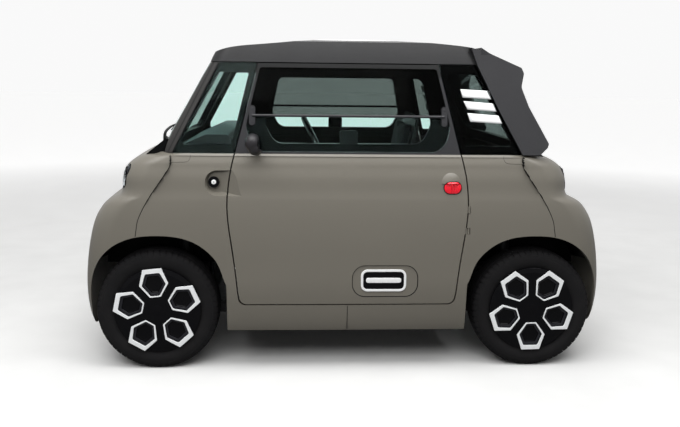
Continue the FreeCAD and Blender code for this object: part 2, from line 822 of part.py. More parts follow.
def front_suspension():
    """Left front arms with their damper and coil, and the drive shaft."""
    reach = kingpin_y - 20
    lower = arm_with_bushes(120, rail_offset + rail_size / 2, 191, reach, kingpin_low - 16, 11, 13)
    lower_eye = Part.makeCylinder(24, 18, V(axle_x, kingpin_y, kingpin_low - 18))
    high = kingpin_high + 9
    upper = arm_with_bushes(tower_shift, rail_offset + post_half, high, reach, high, 9, 11)
    upper_eye = Part.makeCylinder(22, 18, V(axle_x, kingpin_y, kingpin_high))
    damper = strut(axle_x - damper_shift, 180, strut_y, strut_y)
    start = V(axle_x, motor_half_width + touch_gap, tyre_radius)
    end = V(axle_x, kingpin_y - 47, tyre_radius)
    shaft = rod(start, end, 13)
    joint = rod(V(axle_x, kingpin_y - 95, tyre_radius), end, 34)
    return [join(lower + [lower_eye, damper]), join(upper + [upper_eye]), shaft.fuse(joint)]


def rear_suspension():
    """Twist beam with trailing arms, hub stubs, brake drums, dampers and coils."""
    eye = rail_offset + rail_size / 2 + touch_gap
    pivot = V(-axle_x + 294, 0, 250)
    left = [
        rod(V(pivot.x, eye, pivot.z), V(pivot.x, eye + 80, pivot.z), 22),
        rod(V(pivot.x, eye + 60, pivot.z), V(-axle_x, 440, tyre_radius), 20),
        rod(V(-axle_x, 420, tyre_radius), V(-axle_x, hub_end, tyre_radius), 42),
        rod(V(-axle_x, hub_end - 60, tyre_radius), V(-axle_x, hub_end - 10, tyre_radius), 95),
        rod(V(-axle_x, hub_end - 12, tyre_radius), V(-axle_x, hub_end, tyre_radius), 70),
        strut(damper_shift - 20 - axle_x, 278, 425, strut_y),
    ]
    beam = rod(V(-axle_x + 160, -415, 268), V(-axle_x + 160, 415, 268), 20)
    return join(left + [mirror_y(shape) for shape in left] + [beam])


def tube_box(x0, x1, y0, y1, z0, z1, wall, axis):
    """Square tube open at both ends along one axis (0 for X, 1 for Y, 2 for Z)."""
    outer = box(x0, x1, y0, y1, z0, z1)
    low = [x0 + wall, y0 + wall, z0 + wall]
    high = [x1 - wall, y1 - wall, z1 - wall]
    low[axis] -= 2 * wall
    high[axis] += 2 * wall
    return outer.cut(box(low[0], high[0], low[1], high[1], low[2], high[2]))


def suspension_tower():
    """Posts and top plate that carry the left front arms and damper."""
    foot = rail_bottom + rail_size + touch_gap
    y0 = rail_offset - post_half
    y1 = rail_offset + post_half
    rear_x = axle_x - tower_shift
    front_x = axle_x + tower_shift
    tall = box(rear_x - post_half, rear_x + post_half, y0, y1, foot, tower_top + tower_plate)
    plate_back = axle_x - damper_shift - coil_radius
    plate = box(plate_back, rear_x + post_half, y0, strut_y + 40, tower_top, tower_top + tower_plate)
    short = box(front_x - post_half, front_x + post_half, y0, y1, foot, kingpin_high + 30)
    return [tall.fuse(plate).removeSplitter(), short]


def end_beam():
    """Crash beam across the front ends of the rails, on two brackets."""
    x0 = rail_half_length + touch_gap
    x1 = x0 + 44
    parts = [box(x0, x1, -end_beam_half, end_beam_half, 260, 360)]
    for side in (-1, 1):
        y = side * rail_offset
        parts.append(box(x0, x1, y - rail_size / 2, y + rail_size / 2, rail_bottom, 260 - touch_gap))
    return parts


def chassis_frame():
    """Welded frame: two rails, cross members, outriggers, suspension towers and end beams."""
    top = rail_bottom + rail_size
    outer = rail_offset + rail_size / 2
    inner = rail_offset - rail_size / 2
    rail = tube_box(-rail_half_length, rail_half_length, inner, outer, rail_bottom, top, rail_wall, 0)
    parts = [rail, mirror_y(rail)]
    for x in cross_members:
        parts.append(box(x - 20, x + 20, touch_gap - inner, inner - touch_gap,
                         rail_bottom + member_step, top - member_step))
    reach = lower_form(side_wall + touch_gap, 0)
    for x in outriggers:
        bar = box(x - 18, x + 18, outer + touch_gap, half_width, rail_bottom + 14, top - 4).common(reach)
        parts += [bar, mirror_y(bar)]
    for piece in suspension_tower():
        parts += all_four(piece)
    beam = end_beam()
    return Part.makeCompound(parts + beam + [mirror_x(piece) for piece in beam])


def floor_pan():
    """Cabin floor with the front and rear bulkheads."""
    reach = lower_form(side_wall + seat_gap, 0)
    floor_top = floor_height + floor_thickness
    arch_back = axle_x - arch_shift - arch_half_length - liner_clearance - liner_wall - seat_gap
    inner = rail_offset + rail_size / 2 - touch_gap
    wide = box(-arch_back, arch_back, -half_width, half_width, floor_height, floor_top).common(reach)
    narrow = box(-bulkhead_x, bulkhead_x, -inner, inner, floor_height, floor_top)
    parts = [wide, narrow]
    liner_top = arch_top_height + liner_clearance + liner_wall + seat_gap
    wall = box(bulkhead_x, bulkhead_x + 8, -inner, inner, floor_height, bulkhead_top)
    upper = box(bulkhead_x, bulkhead_x + 8, -half_width, half_width, liner_top, bulkhead_top).common(reach)
    parts += [wall, upper, mirror_x(wall), mirror_x(upper)]
    return join(parts)


def wheel_liner():
    """Black liner inside the left front arch, with a wall on its inner side above the arms."""
    wall = arch_prism(liner_clearance + liner_wall, liner_inner, liner_inner + liner_wall)
    wall = wall.common(box(0, half_length, 0, half_width, kingpin_high + 34, 900))
    tower = box(axle_x - damper_shift - coil_radius - 8, axle_x - tower_shift + post_half + 8, 0, half_width,
                tower_top - 8, tower_top + tower_plate + 8)
    band = arch_prism(liner_clearance + liner_wall, liner_inner, half_width)
    band = band.cut(arch_prism(liner_clearance, 0, half_width + 60))
    band = band.common(box(0, half_length, 0, half_width, 200, 900))
    whole = band.fuse(wall).cut(tower)
    below = lower_form(side_wall + seat_gap, panel_wall)
    return whole.common(below).common(lower_form(side_wall + seat_gap, 0))


def seat(y, back_x):
    """Seat shell on its pedestal."""
    lean = V(-105, 575, 0).normalize()
    forward = V(lean.y, -lean.x, 0)
    root = V(back_x, seat_pan_height, 0)

    def at(s, t):
        point = root + lean * s + forward * t
        return (point.x, point.y)

    profile = [(back_x + 430, seat_pan_height), (back_x + 430, seat_pan_height - 15),
               (back_x - 18, seat_pan_height - 15), at(590, -16), at(590, 0), (back_x, seat_pan_height)]
    shell = side_prism(profile, [4, 4, 10, 6, 6, 0], y - seat_width / 2, y + seat_width / 2)
    low = floor_height + floor_thickness + touch_gap
    pedestal = tube_box(back_x + 20, back_x + 380, y - 170, y + 170, low, seat_pan_height - 15, 12, 0)
    return shell.fuse(pedestal)


def cushions(y, back_x):
    """Seat pad and back pad of one seat."""
    lean = V(-105, 575, 0).normalize()
    forward = V(lean.y, -lean.x, 0)
    root = V(back_x, seat_pan_height, 0)

    def at(s, t):
        point = root + lean * s + forward * t
        return (point.x, point.y)

    low = seat_pan_height + seat_gap
    right = y - seat_width / 2 + 18
    left = y + seat_width / 2 - 18
    seat_pad = side_prism([(back_x + 66, low), (back_x + 422, low), (back_x + 426, low + 55),
                           (back_x + 70, low + 48)], [8, 14, 22, 14], right, left)
    back_pad = side_prism([at(66, seat_gap), at(66, 50), at(560, 50), at(575, seat_gap)],
                          [8, 18, 22, 10], right, left)
    return [seat_pad, back_pad]


def dash():
    """Full-width dashboard on top of the front bulkhead."""
    low = bulkhead_top + touch_gap
    points = [(dash_front, 985), (dash_front, 1012), (640, 1076), (545, 1076), (525, 1052), (532, 968),
              (600, low), (700, low)]
    body = side_prism(points, [0, 10, 40, 14, 14, 20, 30, 60], -half_width, half_width)
    keep_low = lower_form(side_wall + 2, 0)
    keep_high = upper_form(pillar_depth + 2)
    low = body.common(box(0, 1000, -half_width, half_width, 0, belt_height)).common(keep_low)
    high = body.common(box(0, 1000, -half_width, half_width, belt_height, 1200)).common(keep_high)
    return low.fuse(high).cut(door_spaces).removeSplitter()


def steering_direction():
    """Way from the steering wheel down along its column."""
    rake = math.radians(steering_rake)
    return V(math.cos(rake), 0, -math.sin(rake))


def steering_wheel():
    """Three-spoke wheel with its hub."""
    ring = Part.makeTorus(steering_radius, 14)
    hub = Part.makeCylinder(46, 34, V(0, 0, -12))
    spokes = []
    for angle in (90, 210, 330):
        spoke = Part.makeBox(steering_radius - 4, 36, 10, V(0, -18, -5))
        spoke.rotate(V(0, 0, 0), V(0, 0, 1), angle)
        spokes.append(spoke)
    whole = ring.fuse([hub] + spokes)
    turn = FreeCAD.Rotation(V(0, 0, 1), steering_direction())
    whole.Placement = FreeCAD.Placement(V(steering_x, seat_y, steering_z), turn)
    return whole


def steering_column():
    """Column tube from the steering wheel to the bulkhead, with its bracket under the dashboard."""
    way = steering_direction()
    centre = V(steering_x, seat_y, steering_z)
    start = centre + way * (22 + seat_gap)
    end_length = (bulkhead_x - 12 - steering_x) / way.x
    tube = rod(start, centre + way * end_length, 24)
    shroud = rod(start, centre + way * 190, 40)
    at_x = 590.0
    low = steering_z + way.z / way.x * (at_x - steering_x)
    hanger = box(at_x - 14, at_x + 14, seat_y - 18, seat_y + 18, low, 900)
    foot = box(bulkhead_x - 30, bulkhead_x - touch_gap, seat_y - 40, seat_y + 40, 680, 760)
    return join([tube, shroud, hanger.cut(dash_gap), foot])


def mirror_head():
    """Left door mirror: domed round housing on a short arm."""
    centre = V(383, 742, 1043)
    dome = [(0, 0), (0, 50), (22, 51), (50, 42), (68, 20), (72, 0)]
    wire = rounded_wire(dome, [0, 3, 24, 26, 16, 0], lambda p: V(centre.x + p.x, centre.y + p.y, centre.z))
    housing = Part.Face(wire).revolve(centre, V(1, 0, 0), 360)
    arm = rod(V(412, 590, 1020), V(412, 730, 1036), 10)
    foot = rod(V(412, 590, 1020), V(412, 638, 1025), 17)
    stalk = arm.fuse(foot).cut(upper_form(-touch_gap))
    return housing.fuse(stalk.Solids).removeSplitter()


def lamp(y):
    """Left lamp with its lens a little proud of the nose."""
    return lamp_space(y, 0).common(lower_form(-lamp_proud, 0))


def motor():
    """Drive motor with its gearbox, one plain block on the front cross members."""
    seat_height = rail_bottom + rail_size - member_step + touch_gap
    return box(axle_x - 150, axle_x + 130, -motor_half_width, motor_half_width, seat_height, 420)


def battery():
    """Traction battery, one plain block under the floor."""
    side = rail_offset - rail_size / 2 - seat_gap
    return box(-300, 300, -side, side, battery_bottom, floor_height - touch_gap)


def lock():
    """Push lock in the handle bowl of the left front quarter."""
    foot = V(lock_x, handle_floor_y + touch_gap, handle_height)
    return Part.makeCylinder(lock_radius, 12, foot, V(0, 1, 0))


def turned(shape):
    """The same piece turned half round about the middle of the car."""
    copy = shape.copy()
    copy.rotate(V(0, 0, 0), V(0, 0, 1), 180)
    return copy


def body_pieces():
    """Panels, glass and frame of the body."""
    nose = front_panel(head_lamp_y)
    tail = mirror_x(front_panel(tail_lamp_y))
    quarter = side_panel().cut(handle_scoop())
    left_side = Part.makeCompound([quarter, rear_quarter_panel()])
    screen = glass_layer.common(screen_space(0))
    side_glass = glass_layer.common(quarter_glass_space(0)).cut(left_door_space)
    trim_points = [(786 + seat_gap, belt_height + seat_gap), (half_length, belt_height + seat_gap),
                   (half_length, roof_edge_height - 4), (577 + seat_gap, roof_edge_height - 4)]
    corner = side_prism(trim_points, [0, 0, 0, 0], 0, half_width)
    trim = glass_layer.common(corner).cut(screen_space(seat_gap))
    head_lamps = [lamp(head_lamp_y), mirror_y(lamp(head_lamp_y))]
    tail_lamps = [mirror_x(lamp(tail_lamp_y)), mirror_y(mirror_x(lamp(tail_lamp_y)))]
    scuttle = cowl()
    return {
        "front_panel": nose,
        "rear_panel": tail,
        "side_panels_left": left_side,
        "side_panels_right": turned(left_side),
        "upper_frame": upper_frame(),
        "windscreen": screen,
        "rear_window": mirror_x(screen),
        "quarter_glass": Part.makeCompound(all_four(side_glass)),
        "pillar_trims": Part.makeCompound([trim, mirror_y(trim)]),
        "roof_panel": roof_panel(),
        "roof_glass": roof_glass(),
        "rear_wings": rear_wings(),
        "cowl": Part.makeCompound([scuttle, mirror_x(scuttle)]),
        "headlamps": Part.makeCompound(head_lamps),
        "tail_lamps": Part.makeCompound(tail_lamps),
        "door_locks": Part.makeCompound([lock(), turned(lock())]),
        "wheel_liners": Part.makeCompound(all_four(wheel_liner())),
    }


def chassis_pieces():
    """Frame, floor, drive and suspension."""
    suspension = front_suspension()
    return {
        "chassis_frame": chassis_frame(),
        "floor_pan": floor_pan(),
        "motor": motor(),
        "battery": battery(),
        "front_suspension": Part.makeCompound(suspension + [mirror_y(shape) for shape in suspension]),
        "rear_suspension": rear_suspension(),
        "knuckle_left": knuckle(),
        "knuckle_right": mirror_y(knuckle()),
    }


def cabin_pieces():
    """Dashboard, steering and seats."""
    pads = cushions(seat_y, driver_back_x) + cushions(-seat_y, driver_back_x - passenger_set_back)
    return {
        "dash": dash(),
        "steering_column": steering_column(),
        "steering_wheel": steering_wheel(),
        "seat_left": seat(seat_y, driver_back_x),
        "seat_right": seat(-seat_y, driver_back_x - passenger_set_back),
        "seat_cushions": Part.makeCompound(pads),
    }


def door_pieces():
    """Both doors, which are one shape turned half round, with glass and mirrors."""
    leaf = door()
    panes = door_glass()
    head = mirror_head()
    return {
        "door_left": leaf,
        "door_right": turned(leaf),
        "door_glass_left": panes,
        "door_glass_right": turned(panes),
        "mirror_left": head,
        "mirror_right": mirror_y(head),
    }


def wheel_pieces():
    """Four wheels with their tyres."""
    pieces = {}
    for end, x, turn in (("front", axle_x, 6.0), ("rear", -axle_x, -35.0)):
        for name, side in (("left", 1), ("right", -1)):
            pieces["tyre_" + end + "_" + name] = tyre(x, side * wheel_y)
            pieces["wheel_" + end + "_" + name] = wheel(x, side, math.radians(turn))
    return pieces


dash_gap = dash().copy()

os.makedirs("parts", exist_ok=True)
pieces = {}
for group in (body_pieces, chassis_pieces, cabin_pieces, door_pieces, wheel_pieces):
    pieces.update(group())
for name, shape in pieces.items():
    shape.exportStep("parts/" + name + ".step")
    print(name, len(shape.Solids), round(shape.Volume / 1e6, 3), shape.isValid())
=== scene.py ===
import json
import math
import random

import bmesh
import bpy
import numpy as np
from mathutils import Matrix, Vector
from mathutils.bvhtree import BVHTree


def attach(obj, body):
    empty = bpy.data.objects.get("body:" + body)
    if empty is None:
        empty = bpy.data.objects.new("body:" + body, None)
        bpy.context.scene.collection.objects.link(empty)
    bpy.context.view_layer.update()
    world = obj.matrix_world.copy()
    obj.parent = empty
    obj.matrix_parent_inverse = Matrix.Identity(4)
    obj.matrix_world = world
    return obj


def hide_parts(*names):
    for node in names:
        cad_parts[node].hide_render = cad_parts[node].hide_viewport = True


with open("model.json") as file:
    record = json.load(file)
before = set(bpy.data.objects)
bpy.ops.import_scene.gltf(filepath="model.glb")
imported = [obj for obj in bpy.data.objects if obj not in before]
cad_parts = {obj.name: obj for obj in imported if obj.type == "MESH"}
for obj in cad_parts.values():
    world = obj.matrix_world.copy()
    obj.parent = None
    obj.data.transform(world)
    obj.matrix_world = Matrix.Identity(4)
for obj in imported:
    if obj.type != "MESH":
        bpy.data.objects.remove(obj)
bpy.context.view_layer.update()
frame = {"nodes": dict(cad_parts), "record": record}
nodes = frame["nodes"]
random.seed(7)
rng = np.random.default_rng(7)

AXLE_X = 0.864
WHEEL_Y = 0.570
TYRE_R = 0.2785


# ---------------------------------------------------------------- materials
class Mat:
    """A node material with object-space detail."""

    def __init__(self, name):
        self.m = bpy.data.materials.new(name)
        self.m.use_nodes = True
        self.nt = self.m.node_tree
        self.b = self.nt.nodes["Principled BSDF"]
        places = self.nt.nodes.new("ShaderNodeTexCoord")
        self.coord = places.outputs["Object"]
        self.normal = places.outputs["Normal"]

    def new(self, kind, **values):
        n = self.nt.nodes.new(kind)
        for k, v in values.items():
            setattr(n, k, v)
        return n

    def link(self, a, b):
        self.nt.links.new(a, b)

    def set(self, **values):
        for k, v in values.items():
            self.b.inputs[k.replace("_", " ")].default_value = v
        return self

    def noise(self, scale, detail=4.0, rough=0.5, stretch=None, coord=None):
        n = self.new("ShaderNodeTexNoise")
        n.inputs["Scale"].default_value = scale
        n.inputs["Detail"].default_value = detail
        n.inputs["Roughness"].default_value = rough
        src = coord or self.coord
        if stretch:
            mp = self.new("ShaderNodeMapping")
            mp.inputs["Scale"].default_value = stretch
            self.link(src, mp.inputs["Vector"])
            src = mp.outputs["Vector"]
        self.link(src, n.inputs["Vector"])
        return n.outputs["Fac"]

    def ramp(self, fac, stops, mode="LINEAR"):
        r = self.new("ShaderNodeValToRGB")
        r.color_ramp.interpolation = mode
        els = r.color_ramp.elements
        while len(els) < len(stops):
            els.new(0.5)
        for e, (pos, col) in zip(els, stops):
            e.position = pos
            e.color = (*col[:3], 1.0)
        self.link(fac, r.inputs["Fac"])
        return r.outputs["Color"]

    def span(self, fac, a, b, lo=0.0, hi=1.0):
        r = self.new("ShaderNodeMapRange")
        r.inputs["From Min"].default_value = lo
        r.inputs["From Max"].default_value = hi
        r.inputs["To Min"].default_value = a
        r.inputs["To Max"].default_value = b
        self.link(fac, r.inputs["Value"])
        return r.outputs["Result"]

    def math(self, op, a, b=None, clamp=False):
        n = self.new("ShaderNodeMath", operation=op, use_clamp=clamp)
        for i, v in enumerate((a, b)):
            if v is None:
                continue
            if isinstance(v, (int, float)):
                n.inputs[i].default_value = v
            else:
                self.link(v, n.inputs[i])
        return n.outputs["Value"]

    def mix(self, fac, a, b):
        n = self.new("ShaderNodeMix", data_type="RGBA")
        if isinstance(fac, (int, float)):
            n.inputs[0].default_value = fac
        else:
            self.link(fac, n.inputs[0])
        for i, v in ((6, a), (7, b)):
            if isinstance(v, tuple):
                n.inputs[i].default_value = (*v[:3], 1.0)
            else:
                self.link(v, n.inputs[i])
        return n.outputs[2]

    def xyz(self, source=None):
        n = self.new("ShaderNodeSeparateXYZ")
        self.link(source or self.coord, n.inputs["Vector"])
        return n.outputs["X"], n.outputs["Y"], n.outputs["Z"]

    def bump(self, height, strength, distance):
        n = self.new("ShaderNodeBump")
        n.inputs["Strength"].default_value = strength
        n.inputs["Distance"].default_value = distance
        self.link(height, n.inputs["Height"])
        old = self.b.inputs["Normal"]
        if old.is_linked:
            self.link(old.links[0].from_socket, n.inputs["Normal"])
        self.link(n.outputs["Normal"], self.b.inputs["Normal"])

    def colour(self, sock):
        self.link(sock, self.b.inputs["Base Color"])
        return self

    def rough(self, sock):
        self.link(sock, self.b.inputs["Roughness"])
        return self


def srgb(r, g, b):
    def f(c):
        c /= 255.0
        return c / 12.92 if c <= 0.04045 else ((c + 0.055) / 1.055) ** 2.4
    return (f(r), f(g), f(b))


def shade(c, k):
    return tuple(max(0.0, min(1.0, v * k)) for v in c)


def paint(name, base, vary=0.06, rough=(0.40, 0.48), grain=900.0, grain_depth=0.00002, cloud=3.0):
    """Satin paint or dyed plastic: slow colour drift, fine orange peel and dusty roughness."""
    m = Mat(name)
    slow = m.noise(cloud, 5.0, 0.55)
    fine = m.noise(grain, 2.0, 0.6)
    c = m.ramp(slow, [(0.25, shade(base, 1 - vary)), (0.75, shade(base, 1 + vary))])
    c = m.mix(m.span(fine, 0.0, 0.5), c, shade(base, 0.9))
    m.colour(c)
    m.rough(m.span(m.noise(17.0, 6.0, 0.65), rough[0], rough[1], 0.3, 0.7))
    m.bump(fine, 0.35, grain_depth)
    m.bump(m.noise(24.0, 3.0, 0.5), 0.12, 0.0004)
    return m


def moulded(name, base, rough=(0.45, 0.6), grain=420.0, depth=0.00012, vary=0.12):
    """Moulded plastic with a leather-like grain."""
    m = Mat(name)
    v = m.new("ShaderNodeTexVoronoi", feature="DISTANCE_TO_EDGE")
    v.inputs["Scale"].default_value = grain
    m.link(m.coord, v.inputs["Vector"])
    cell = v.outputs["Distance"]
    slow = m.noise(9.0, 5.0, 0.6)
    c = m.ramp(slow, [(0.3, shade(base, 1 - vary)), (0.7, shade(base, 1 + vary))])
    c = m.mix(m.span(cell, 0.35, 0.0, 0.0, 0.06), c, shade(base, 0.6))
    m.colour(c)
    m.rough(m.span(m.noise(60.0, 4.0, 0.6), rough[0], rough[1], 0.3, 0.7))
    m.bump(m.span(cell, 0.0, 1.0, 0.0, 0.12), 0.5, depth)
    return m


BODY = srgb(113, 109, 100)
body_paint = paint("body_paint", BODY, vary=0.03, rough=(0.34, 0.42), cloud=2.2)
body_paint.set(Specular_IOR_Level=0.5, Coat_Weight=0.15, Coat_Roughness=0.3)

DARK_GREY = srgb(40, 40, 43)
NEAR_BLACK = srgb(10, 11, 12)
grey_trim = moulded("grey_trim", srgb(54, 54, 56), rough=(0.5, 0.62), grain=700.0, depth=0.00006, vary=0.06)
mirror_shell = moulded("mirror_shell", srgb(36, 34, 37), rough=(0.35, 0.48), grain=800.0, depth=0.00004, vary=0.06)
black_trim = paint("black_trim", NEAR_BLACK, vary=0.12, rough=(0.40, 0.55), grain=700.0, grain_depth=0.00003, cloud=9.0)
seat_shell = moulded("seat_shell", srgb(26, 26, 28), rough=(0.45, 0.6), grain=500.0, depth=0.00008)
gloss_black = paint("gloss_black", srgb(5, 5, 8), vary=0.1, rough=(0.10, 0.18), grain=600.0, grain_depth=0.000008)
gloss_black.set(Specular_IOR_Level=0.14)
dark_plastic = moulded("dark_plastic", srgb(12, 12, 14), rough=(0.4, 0.55), grain=800.0, depth=0.00004)
for m in (dark_plastic, seat_shell):
    m.set(Specular_IOR_Level=0.2)
grey_trim.set(Specular_IOR_Level=0.3)
black_trim.set(Specular_IOR_Level=0.1)
frit_black = paint("frit_black", srgb(5, 6, 7), vary=0.2, rough=(0.30, 0.40), grain=600.0, grain_depth=0.00001)
frit_black.set(Specular_IOR_Level=0.05)
white_gloss = paint("white_gloss", srgb(246, 247, 247), vary=0.02, rough=(0.22, 0.32), grain=700.0, grain_depth=0.00001)
silver = paint("ring_silver", srgb(247, 249, 250), vary=0.02, rough=(0.24, 0.34), grain=1500.0, grain_depth=0.00001)
ledge_grey = paint("ledge_grey", srgb(30, 30, 35), vary=0.15, rough=(0.3, 0.42), grain=700.0, grain_depth=0.00002)
ledge_grey.set(Specular_IOR_Level=0.3)
frame_steel = paint("frame_steel", srgb(30, 30, 33), vary=0.25, rough=(0.45, 0.65), grain=300.0, grain_depth=0.00008, cloud=20.0)
frame_steel.set(Metallic=0.2)


def cast():
    m = Mat("cast_metal")
    n = m.noise(160.0, 6.0, 0.7)
    m.colour(m.ramp(n, [(0.3, srgb(84, 84, 86)), (0.7, srgb(122, 122, 124))]))
    m.rough(m.span(n, 0.45, 0.7))
    m.set(Metallic=0.85)
    m.bump(n, 0.5, 0.0004)
    return m


cast_metal = cast()


def glass(name, tint, rough=0.0):
    m = Mat(name)
    film = m.noise(35.0, 4.0, 0.6)
    m.colour(m.ramp(film, [(0.3, shade(tint, 0.985)), (0.7, tint)]))
    m.rough(m.span(m.noise(7.0, 4.0, 0.6), rough, rough + 0.012, 0.45, 0.8))
    m.set(Transmission_Weight=1.0, IOR=1.12)
    return m


def door_glass_finish():
    """Green-tinted glass whose upper pane is smoked on the left door."""
    m = Mat("door_glass")
    x, y, z = m.xyz()
    film = m.noise(35.0, 4.0, 0.6)
    light = m.ramp(film, [(0.3, srgb(222, 242, 238)), (0.7, srgb(226, 245, 241))])
    smoked = m.ramp(film, [(0.3, srgb(101, 105, 103)), (0.7, srgb(105, 109, 107))])
    high = m.math("MULTIPLY", m.math("GREATER_THAN", z, 1.165), m.math("GREATER_THAN", y, 0.0))
    m.colour(m.mix(high, light, smoked))
    m.rough(m.span(m.noise(7.0, 4.0, 0.6), 0.0, 0.012, 0.45, 0.8))
    m.set(Transmission_Weight=1.0, IOR=1.12)
    return m


side_glass = glass("glass", srgb(206, 228, 222))
door_pane = door_glass_finish()
roof_pane = glass("roof_pane", srgb(70, 76, 76))
clear_lens = glass("lamp_lens", srgb(238, 243, 246))


def lens_red():
    m = Mat("red_lens")
    x, y, z = m.xyz()
    ribs = m.math("SINE", m.math("MULTIPLY", x, 900.0))
    n = m.noise(40.0, 3.0)
    m.colour(m.ramp(n, [(0.3, srgb(240, 8, 38)), (0.7, srgb(252, 14, 48))]))
    m.rough(m.span(n, 0.14, 0.22))
    m.bump(ribs, 0.25, 0.0006)
    m.set(Coat_Weight=0.5, Coat_Roughness=0.08)
    return m


red_lens = lens_red()


def chrome(name, base, rough=(0.08, 0.16)):
    m = Mat(name)
    n = m.noise(70.0, 4.0)
    m.colour(m.ramp(n, [(0.3, shade(base, 0.94)), (0.7, base)]))
    m.rough(m.span(n, rough[0], rough[1]))
    m.set(Metallic=1.0)
    return m


reflector = chrome("reflector", (0.86, 0.87, 0.88))
mirror_glass = chrome("mirror_face", (0.8, 0.83, 0.84), (0.01, 0.03))
steel = chrome("bright_steel", (0.55, 0.55, 0.56), (0.22, 0.35))


def rubber():
    """Tyre rubber: dusty, with a fine speckled grain."""
    m = Mat("tyre_rubber")
    slow = m.noise(14.0, 6.0, 0.6)
    fine = m.noise(480.0, 3.0, 0.7)
    c = m.ramp(slow, [(0.3, srgb(17, 17, 19)), (0.72, srgb(27, 26, 27))])
    c = m.mix(m.span(fine, 0.0, 0.6, 0.45, 0.75), c, srgb(34, 33, 32))
    m.colour(c)
    m.rough(m.span(slow, 0.62, 0.78))
    m.bump(fine, 0.4, 0.00015)
    m.set(Specular_IOR_Level=0.2)
    return m


tyre_rubber = rubber()


def fabric(name, base, pitch=0.0034):
    """Flat woven cloth."""
    m = Mat(name)
    x, y, z = m.xyz()
    k = 2 * math.pi / pitch
    a = m.math("SINE", m.math("MULTIPLY", m.math("ADD", x, z), k))
    b = m.math("SINE", m.math("MULTIPLY", y, k))
    weave = m.math("MULTIPLY", a, b)
    slow = m.noise(20.0, 4.0)
    c = m.ramp(m.span(weave, 0.0, 1.0, -1.0, 1.0), [(0.0, shade(base, 0.72)), (1.0, shade(base, 1.25))])
    c = m.mix(m.span(slow, 0.0, 0.5, 0.35, 0.7), c, shade(base, 1.4))
    m.colour(c)
    m.rough(m.span(slow, 0.8, 0.95))
    m.bump(weave, 0.5, 0.0004)
    m.set(Sheen_Weight=0.12, Sheen_Roughness=0.5, Specular_IOR_Level=0.2)
    return m


seat_cloth = fabric("seat_fabric", srgb(25, 26, 29))


# ---------------------------------------------------------------- mesh helpers
def build(name, verts, faces, mat, body, slot=None, smooth=True, angle=35.0):
    me = bpy.data.meshes.new(name)
    me.from_pydata([tuple(v) for v in verts], [], [tuple(f) for f in faces])
    me.validate()
    bm = bmesh.new()
    bm.from_mesh(me)
    bmesh.ops.remove_doubles(bm, verts=bm.verts, dist=1e-6)
    bmesh.ops.recalc_face_normals(bm, faces=bm.faces)
    bm.to_mesh(me)
    bm.free()
    me.shade_smooth() if smooth else me.shade_flat()
    if smooth:
        me.set_sharp_from_angle(angle=math.radians(angle))
    me.materials.append(mat.m)
    o = bpy.data.objects.new(name, me)
    bpy.context.scene.collection.objects.link(o)
    if body:
        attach(o, body)
    return o


def turned(o, name, body, slot=None, flip_x=True, flip_y=True):
    """A copy turned half round the upright axis, or mirrored if only one axis flips."""
    me = o.data.copy()
    m = Matrix.Diagonal((-1 if flip_x else 1, -1 if flip_y else 1, 1, 1))
    me.transform(m)
    if flip_x != flip_y:
        me.flip_normals()
    c = bpy.data.objects.new(name, me)
    bpy.context.scene.collection.objects.link(c)
    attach(c, body)
    return c


def rounded(points, radii, n=6):
    """Polygon with rounded corners."""
    out = []
    count = len(points)
    if not isinstance(radii, (list, tuple)):
        radii = [radii] * count
    for i, (p, r) in enumerate(zip(points, radii)):
        p = Vector(p)
        a = Vector(points[i - 1]) - p
        b = Vector(points[(i + 1) % count]) - p
        la, lb = a.length, b.length
        a.normalize()
        b.normalize()
        if r <= 0:
            out.append(p)
            continue
        half = math.acos(max(-1, min(1, a.dot(b)))) / 2
        cut = min(r / math.tan(half), la * 0.49, lb * 0.49)
        rr = cut * math.tan(half)
        centre = p + (a + b).normalized() * (rr / math.sin(half))
        s = p + a * cut - centre
        e = p + b * cut - centre
        a0 = math.atan2(s.y, s.x)
        a1 = math.atan2(e.y, e.x)
        d = (a1 - a0 + math.pi) % (2 * math.pi) - math.pi
        for k in range(n + 1):
            t = a0 + d * k / n
            out.append(centre + Vector((math.cos(t), math.sin(t))) * rr)
    return [tuple(v) for v in out]


def offset(poly, d):
    """The outline moved inwards by d (outwards if negative)."""
    pts = [Vector(p) for p in poly]
    area = sum(pts[i - 1].x * pts[i].y - pts[i].x * pts[i - 1].y for i in range(len(pts)))
    s = 1 if area > 0 else -1
    out = []
    for i, p in enumerate(pts):
        a = (p - pts[i - 1])
        b = (pts[(i + 1) % len(pts)] - p)
        if a.length < 1e-9:
            a = b
        if b.length < 1e-9:
            b = a
        na = Vector((-a.y, a.x)).normalized() * s
        nb = Vector((-b.y, b.x)).normalized() * s
        n = (na + nb)
        if n.length < 1e-6:
            n = na
        n.normalize()
        k = max(0.35, n.dot(na))
        out.append(tuple(p + n * (d / k)))
    return out


def loft(rings, close=True, cap_first=False, cap_last=False):
    """Verts and faces over rings of equal length."""
    n = len(rings[0])
    verts = [v for r in rings for v in r]
    faces = []
    for i in range(len(rings) - 1):
        for j in range(n if close else n - 1):
            k = (j + 1) % n
            faces.append((i * n + j, i * n + k, (i + 1) * n + k, (i + 1) * n + j))
    if cap_first:
        verts.append(tuple(sum(c) / n for c in zip(*rings[0])))
        m = len(verts) - 1
        faces += [(m, (j + 1) % n, j) for j in range(n)]
    if cap_last:
        base = (len(rings) - 1) * n
        verts.append(tuple(sum(c) / n for c in zip(*rings[-1])))
        m = len(verts) - 1
        faces += [(m, base + j, base + (j + 1) % n) for j in range(n)]
    return verts, faces


